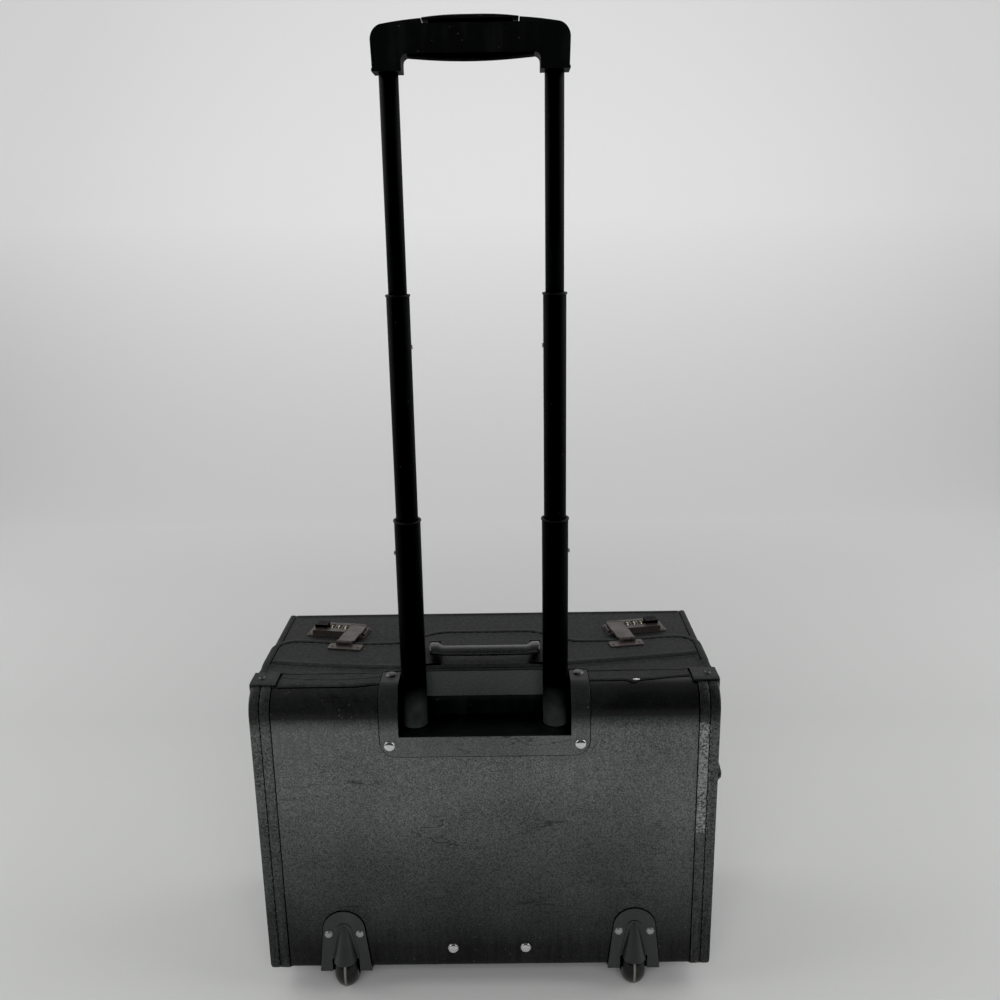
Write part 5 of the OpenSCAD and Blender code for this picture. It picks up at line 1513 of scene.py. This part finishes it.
class CASE_OT_wheels(bpy.types.Operator):
    """Adds the wheels, their riveted housings, axles and the front feet"""

    bl_idname = "briefcase.wheels"
    bl_label = "Wheels and feet"

    def execute(self, context):
        make_materials()
        for side, _ in SIDES:
            dressed(f"housing_{side}", f"wheel_housing_{side}", "housing", edge=0.35, angle=35.0)
            low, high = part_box(f"wheel_{side}")
            profile = self.wheel_profile((high.z - low.z) / 2 / MM, (high.x - low.x) / MM)
            bm = turned(profile, (low + high) / 2, axis="X", steps=96, closed=True)
            piece(f"roller_{side}", bm, f"wheel_{side[0]}", "wheel", (f"wheel_{side}",), sharp=50.0)
        self.housing_rivets()
        recoat("wheel_axles", "dull")
        recoat("front_feet", "tray")
        return {"FINISHED"}

    def wheel_profile(self, r, w):
        """A ball wheel's half section: bored hub, sunk flanks and a round tread with a raised seam."""
        flank, half, hub, rim = r - w / 2, w / 2, 5.6, 0.3
        side = [(3.1, 0.4 - half), (3.5, -half), (hub - 0.4, -half), (hub, rim - half), (hub, 3.0 - half),
                (flank - 0.6, 3.0 - half), (flank - 0.2, rim - half), (flank + 0.2, -half)]
        tread, skin, steps = [], 0.25, 16
        for i in range(1, steps):
            a = math.pi * i / steps - math.pi / 2
            seam = skin * math.exp(-((half * math.sin(a)) / 0.5) ** 2)
            tread.append((flank + half * math.cos(a) - skin + seam, half * math.sin(a)))
        line = [(r - skin, 0.7), (r - 0.22, 0.35), (r, 0.15)]
        tread[7:8] = [(a, -b) for a, b in line] + line[::-1]
        return side + tread + [(a, -b) for a, b in reversed(side)]

    def housing_rivets(self):
        """Two dull rivets on each housing's plate."""
        bm = bmesh.new()
        z, wheel = middle_of("housing_rivets").z, middle_of("wheel_right").x
        apart, width, height = 16.0 * MM, 8.5, 1.6
        for s in (-1, 1):
            for t in (-1, 1):
                spot = Vector((s * wheel + t * apart, BACK - height * MM, z))
                rivet_head(bm, spot, BACKWARDS, width, height)
        piece("housing_rivet_heads", bm, "case", "dull", ("housing_rivets",), sharp=50.0)


# Floor, light and camera


SWEEP_HALF, SWEEP_FRONT, SWEEP_FOOT, SWEEP_RADIUS, SWEEP_TOP = 3.2, -1.15, 1.6, 1.0, 3.4
CAMERA_SPOT = (0.0254, -0.9715, 0.7713)
CAMERA_PAN, CAMERA_TILT, CAMERA_ROLL = 0.0079, -0.2684, 0.0164


def floor_material(tone, wall_glow):
    """Pale paper, with painted shade that darkens it where it rises, and a painted glow there in place of
    light from behind.
    """
    made, tree, surface = new_material("Pale floor", Roughness=0.75, Specular_IOR_Level=0.25)
    shade = mix_colour(tree, noise(tree, 1.3), scaled((0.97, 0.985, 0.97), tone),
                       scaled((1.03, 1.04, 1.02), tone))
    up, along = heights(tree)
    # painted shade: darker further back
    shade = mix_colour(tree, ramp(tree, along, -0.5, 1.2), shade, scaled((0.80, 0.81, 0.80), tone))
    tree.links.new(shade, surface.inputs["Base Color"])
    # painted light: the sweep glows towards the back and up the wall
    glow = math_node(tree, "ADD", ramp(tree, along, 0.5, 1.6, 0.0, 0.22), ramp(tree, up, 0.0, 0.8, 0.0, 0.24))
    tree.links.new(grey_of(tree, glow), surface.inputs["Emission Color"])
    surface.inputs["Emission Strength"].default_value = wall_glow
    return made


def add_floor(look):
    """A flat floor that sweeps up into a wall behind the case."""
    path = [(SWEEP_FRONT, 0.0), (0.0, 0.0), (SWEEP_FOOT, 0.0)]
    for k in range(1, 17):
        a = math.pi / 2 * k / 16
        path.append((SWEEP_FOOT + SWEEP_RADIUS * math.sin(a), SWEEP_RADIUS * (1 - math.cos(a))))
    path.append((SWEEP_FOOT + SWEEP_RADIUS, SWEEP_TOP))
    bm = formed(2, len(path) - 1, lambda i, j: Vector(((i - 1) * SWEEP_HALF, *path[j])))
    mesh = bpy.data.meshes.new("floor_sweep")
    bm.to_mesh(mesh)
    bm.free()
    mesh.shade_smooth()
    mesh.materials.append(look)
    floor = bpy.data.objects.new("floor_sweep", mesh)
    bpy.context.scene.collection.objects.link(floor)


def add_light(name, spot, target, size, power):
    """A rectangular light at a spot, turned to a target; sizes in metres and power in watts."""
    data = bpy.data.lights.new(name, "AREA")
    data.shape, data.size, data.size_y = "RECTANGLE", *size
    data.energy = power
    lamp = bpy.data.objects.new(name, data)
    lamp.location = spot
    lamp.rotation_euler = (Vector(target) - Vector(spot)).to_track_quat("-Z", "Y").to_euler()
    bpy.context.scene.collection.objects.link(lamp)
    return lamp


def add_world():
    """Faint light from all round, and a bright background where the camera sees past the sweep."""
    world = bpy.data.worlds.new("Studio")
    bpy.context.scene.world = world
    world.use_nodes = True
    tree = world.node_tree
    sky = tree.nodes["Background"]
    sky.inputs["Color"].default_value = (0.98, 1.0, 0.985, 1.0)
    seen = put(tree, "ShaderNodeLightPath").outputs["Is Camera Ray"]
    strength = put(tree, "ShaderNodeMath", {0: seen, 1: 0.6, 2: 0.06}, operation="MULTIPLY_ADD")
    tree.links.new(strength.outputs[0], sky.inputs["Strength"])


def add_camera():
    """The camera of the photograph, behind the case and looking down on it."""
    data = bpy.data.cameras.new("photo_camera")
    data.sensor_width, data.lens = 36.0, 36.0
    camera = bpy.data.objects.new("photo_camera", data)
    bpy.context.scene.collection.objects.link(camera)
    turn = Matrix.Rotation(CAMERA_PAN, 3, "Z") @ Matrix.Rotation(CAMERA_TILT, 3, "X")
    turn = turn @ Matrix.Rotation(CAMERA_ROLL, 3, "Y")
    right, ahead, up = turn.transposed()
    axes = Matrix((right, up, -ahead)).transposed()
    camera.matrix_world = Matrix.Translation(CAMERA_SPOT) @ axes.to_4x4()
    bpy.context.scene.camera = camera


class CASE_OT_stage(bpy.types.Operator):
    """Adds the pale floor with its sweep, the soft lights and the camera of the photograph"""

    bl_idname = "briefcase.stage"
    bl_label = "Studio"

    def execute(self, context):
        settings = context.scene.briefcase_stage
        add_floor(floor_material(settings.floor_tone, settings.wall_glow))
        add_light("overhead", (0.0, 0.4, 2.3), (0.0, 0.4, 0.0), (3.0, 2.4), settings.overhead)
        for side, s in SIDES:
            add_light(f"{side}_wall", (s * 1.6, 0.2, 1.1), (0.0, 0.1, 0.3), (2.0, 1.6), settings.sides)
        front = add_light("front", (0.0, -2.4, 1.7), (0.0, 0.0, 0.25), (2.4, 1.4), settings.front)
        front.visible_glossy = False
        add_world()
        add_camera()
        view = context.scene.view_settings
        view.view_transform = "Standard"
        view.use_curve_mapping = True
        view.curve_mapping.black_level = (settings.black_point,) * 3
        view.curve_mapping.update()
        return {"FINISHED"}


OPERATORS = (
    CASE_OT_boards, CASE_OT_bindings, CASE_OT_patches, CASE_OT_flap, CASE_OT_lid, CASE_OT_carry_handle,
    CASE_OT_locks, CASE_OT_pull_handle, CASE_OT_pull_grip, CASE_OT_wheels, CASE_OT_stage,
)


class CASE_PT_panel(bpy.types.Panel):
    """Lists the pieces of the briefcase"""

    bl_idname = "CASE_PT_panel"
    bl_label = "Rolling briefcase"
    bl_space_type = "VIEW_3D"
    bl_region_type = "UI"
    bl_category = "Briefcase"

    def draw(self, context):
        column = self.layout.column()
        for operator in OPERATORS:
            column.operator(operator.bl_idname)
        for settings in (context.scene.briefcase_sizes, context.scene.briefcase_colours,
                         context.scene.briefcase_stage):
            for key in settings.bl_rna.properties.keys():
                if key not in ("rna_type", "name"):
                    column.prop(settings, key)


CLASSES = (CaseSizes, CaseColours, StageSettings, *OPERATORS, CASE_PT_panel)


def register():
    for cls in CLASSES:
        bpy.utils.register_class(cls)
    bpy.types.Scene.briefcase_sizes = bpy.props.PointerProperty(type=CaseSizes)
    bpy.types.Scene.briefcase_colours = bpy.props.PointerProperty(type=CaseColours)
    bpy.types.Scene.briefcase_stage = bpy.props.PointerProperty(type=StageSettings)


def unregister():
    for key in ("briefcase_sizes", "briefcase_colours", "briefcase_stage"):
        delattr(bpy.types.Scene, key)
    for cls in reversed(CLASSES):
        bpy.utils.unregister_class(cls)


def main():
    """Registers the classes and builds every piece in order."""
    register()
    for operator in OPERATORS:
        section, name = operator.bl_idname.split(".")
        getattr(getattr(bpy.ops, section), name)()


if __name__ == "__main__":
    main()
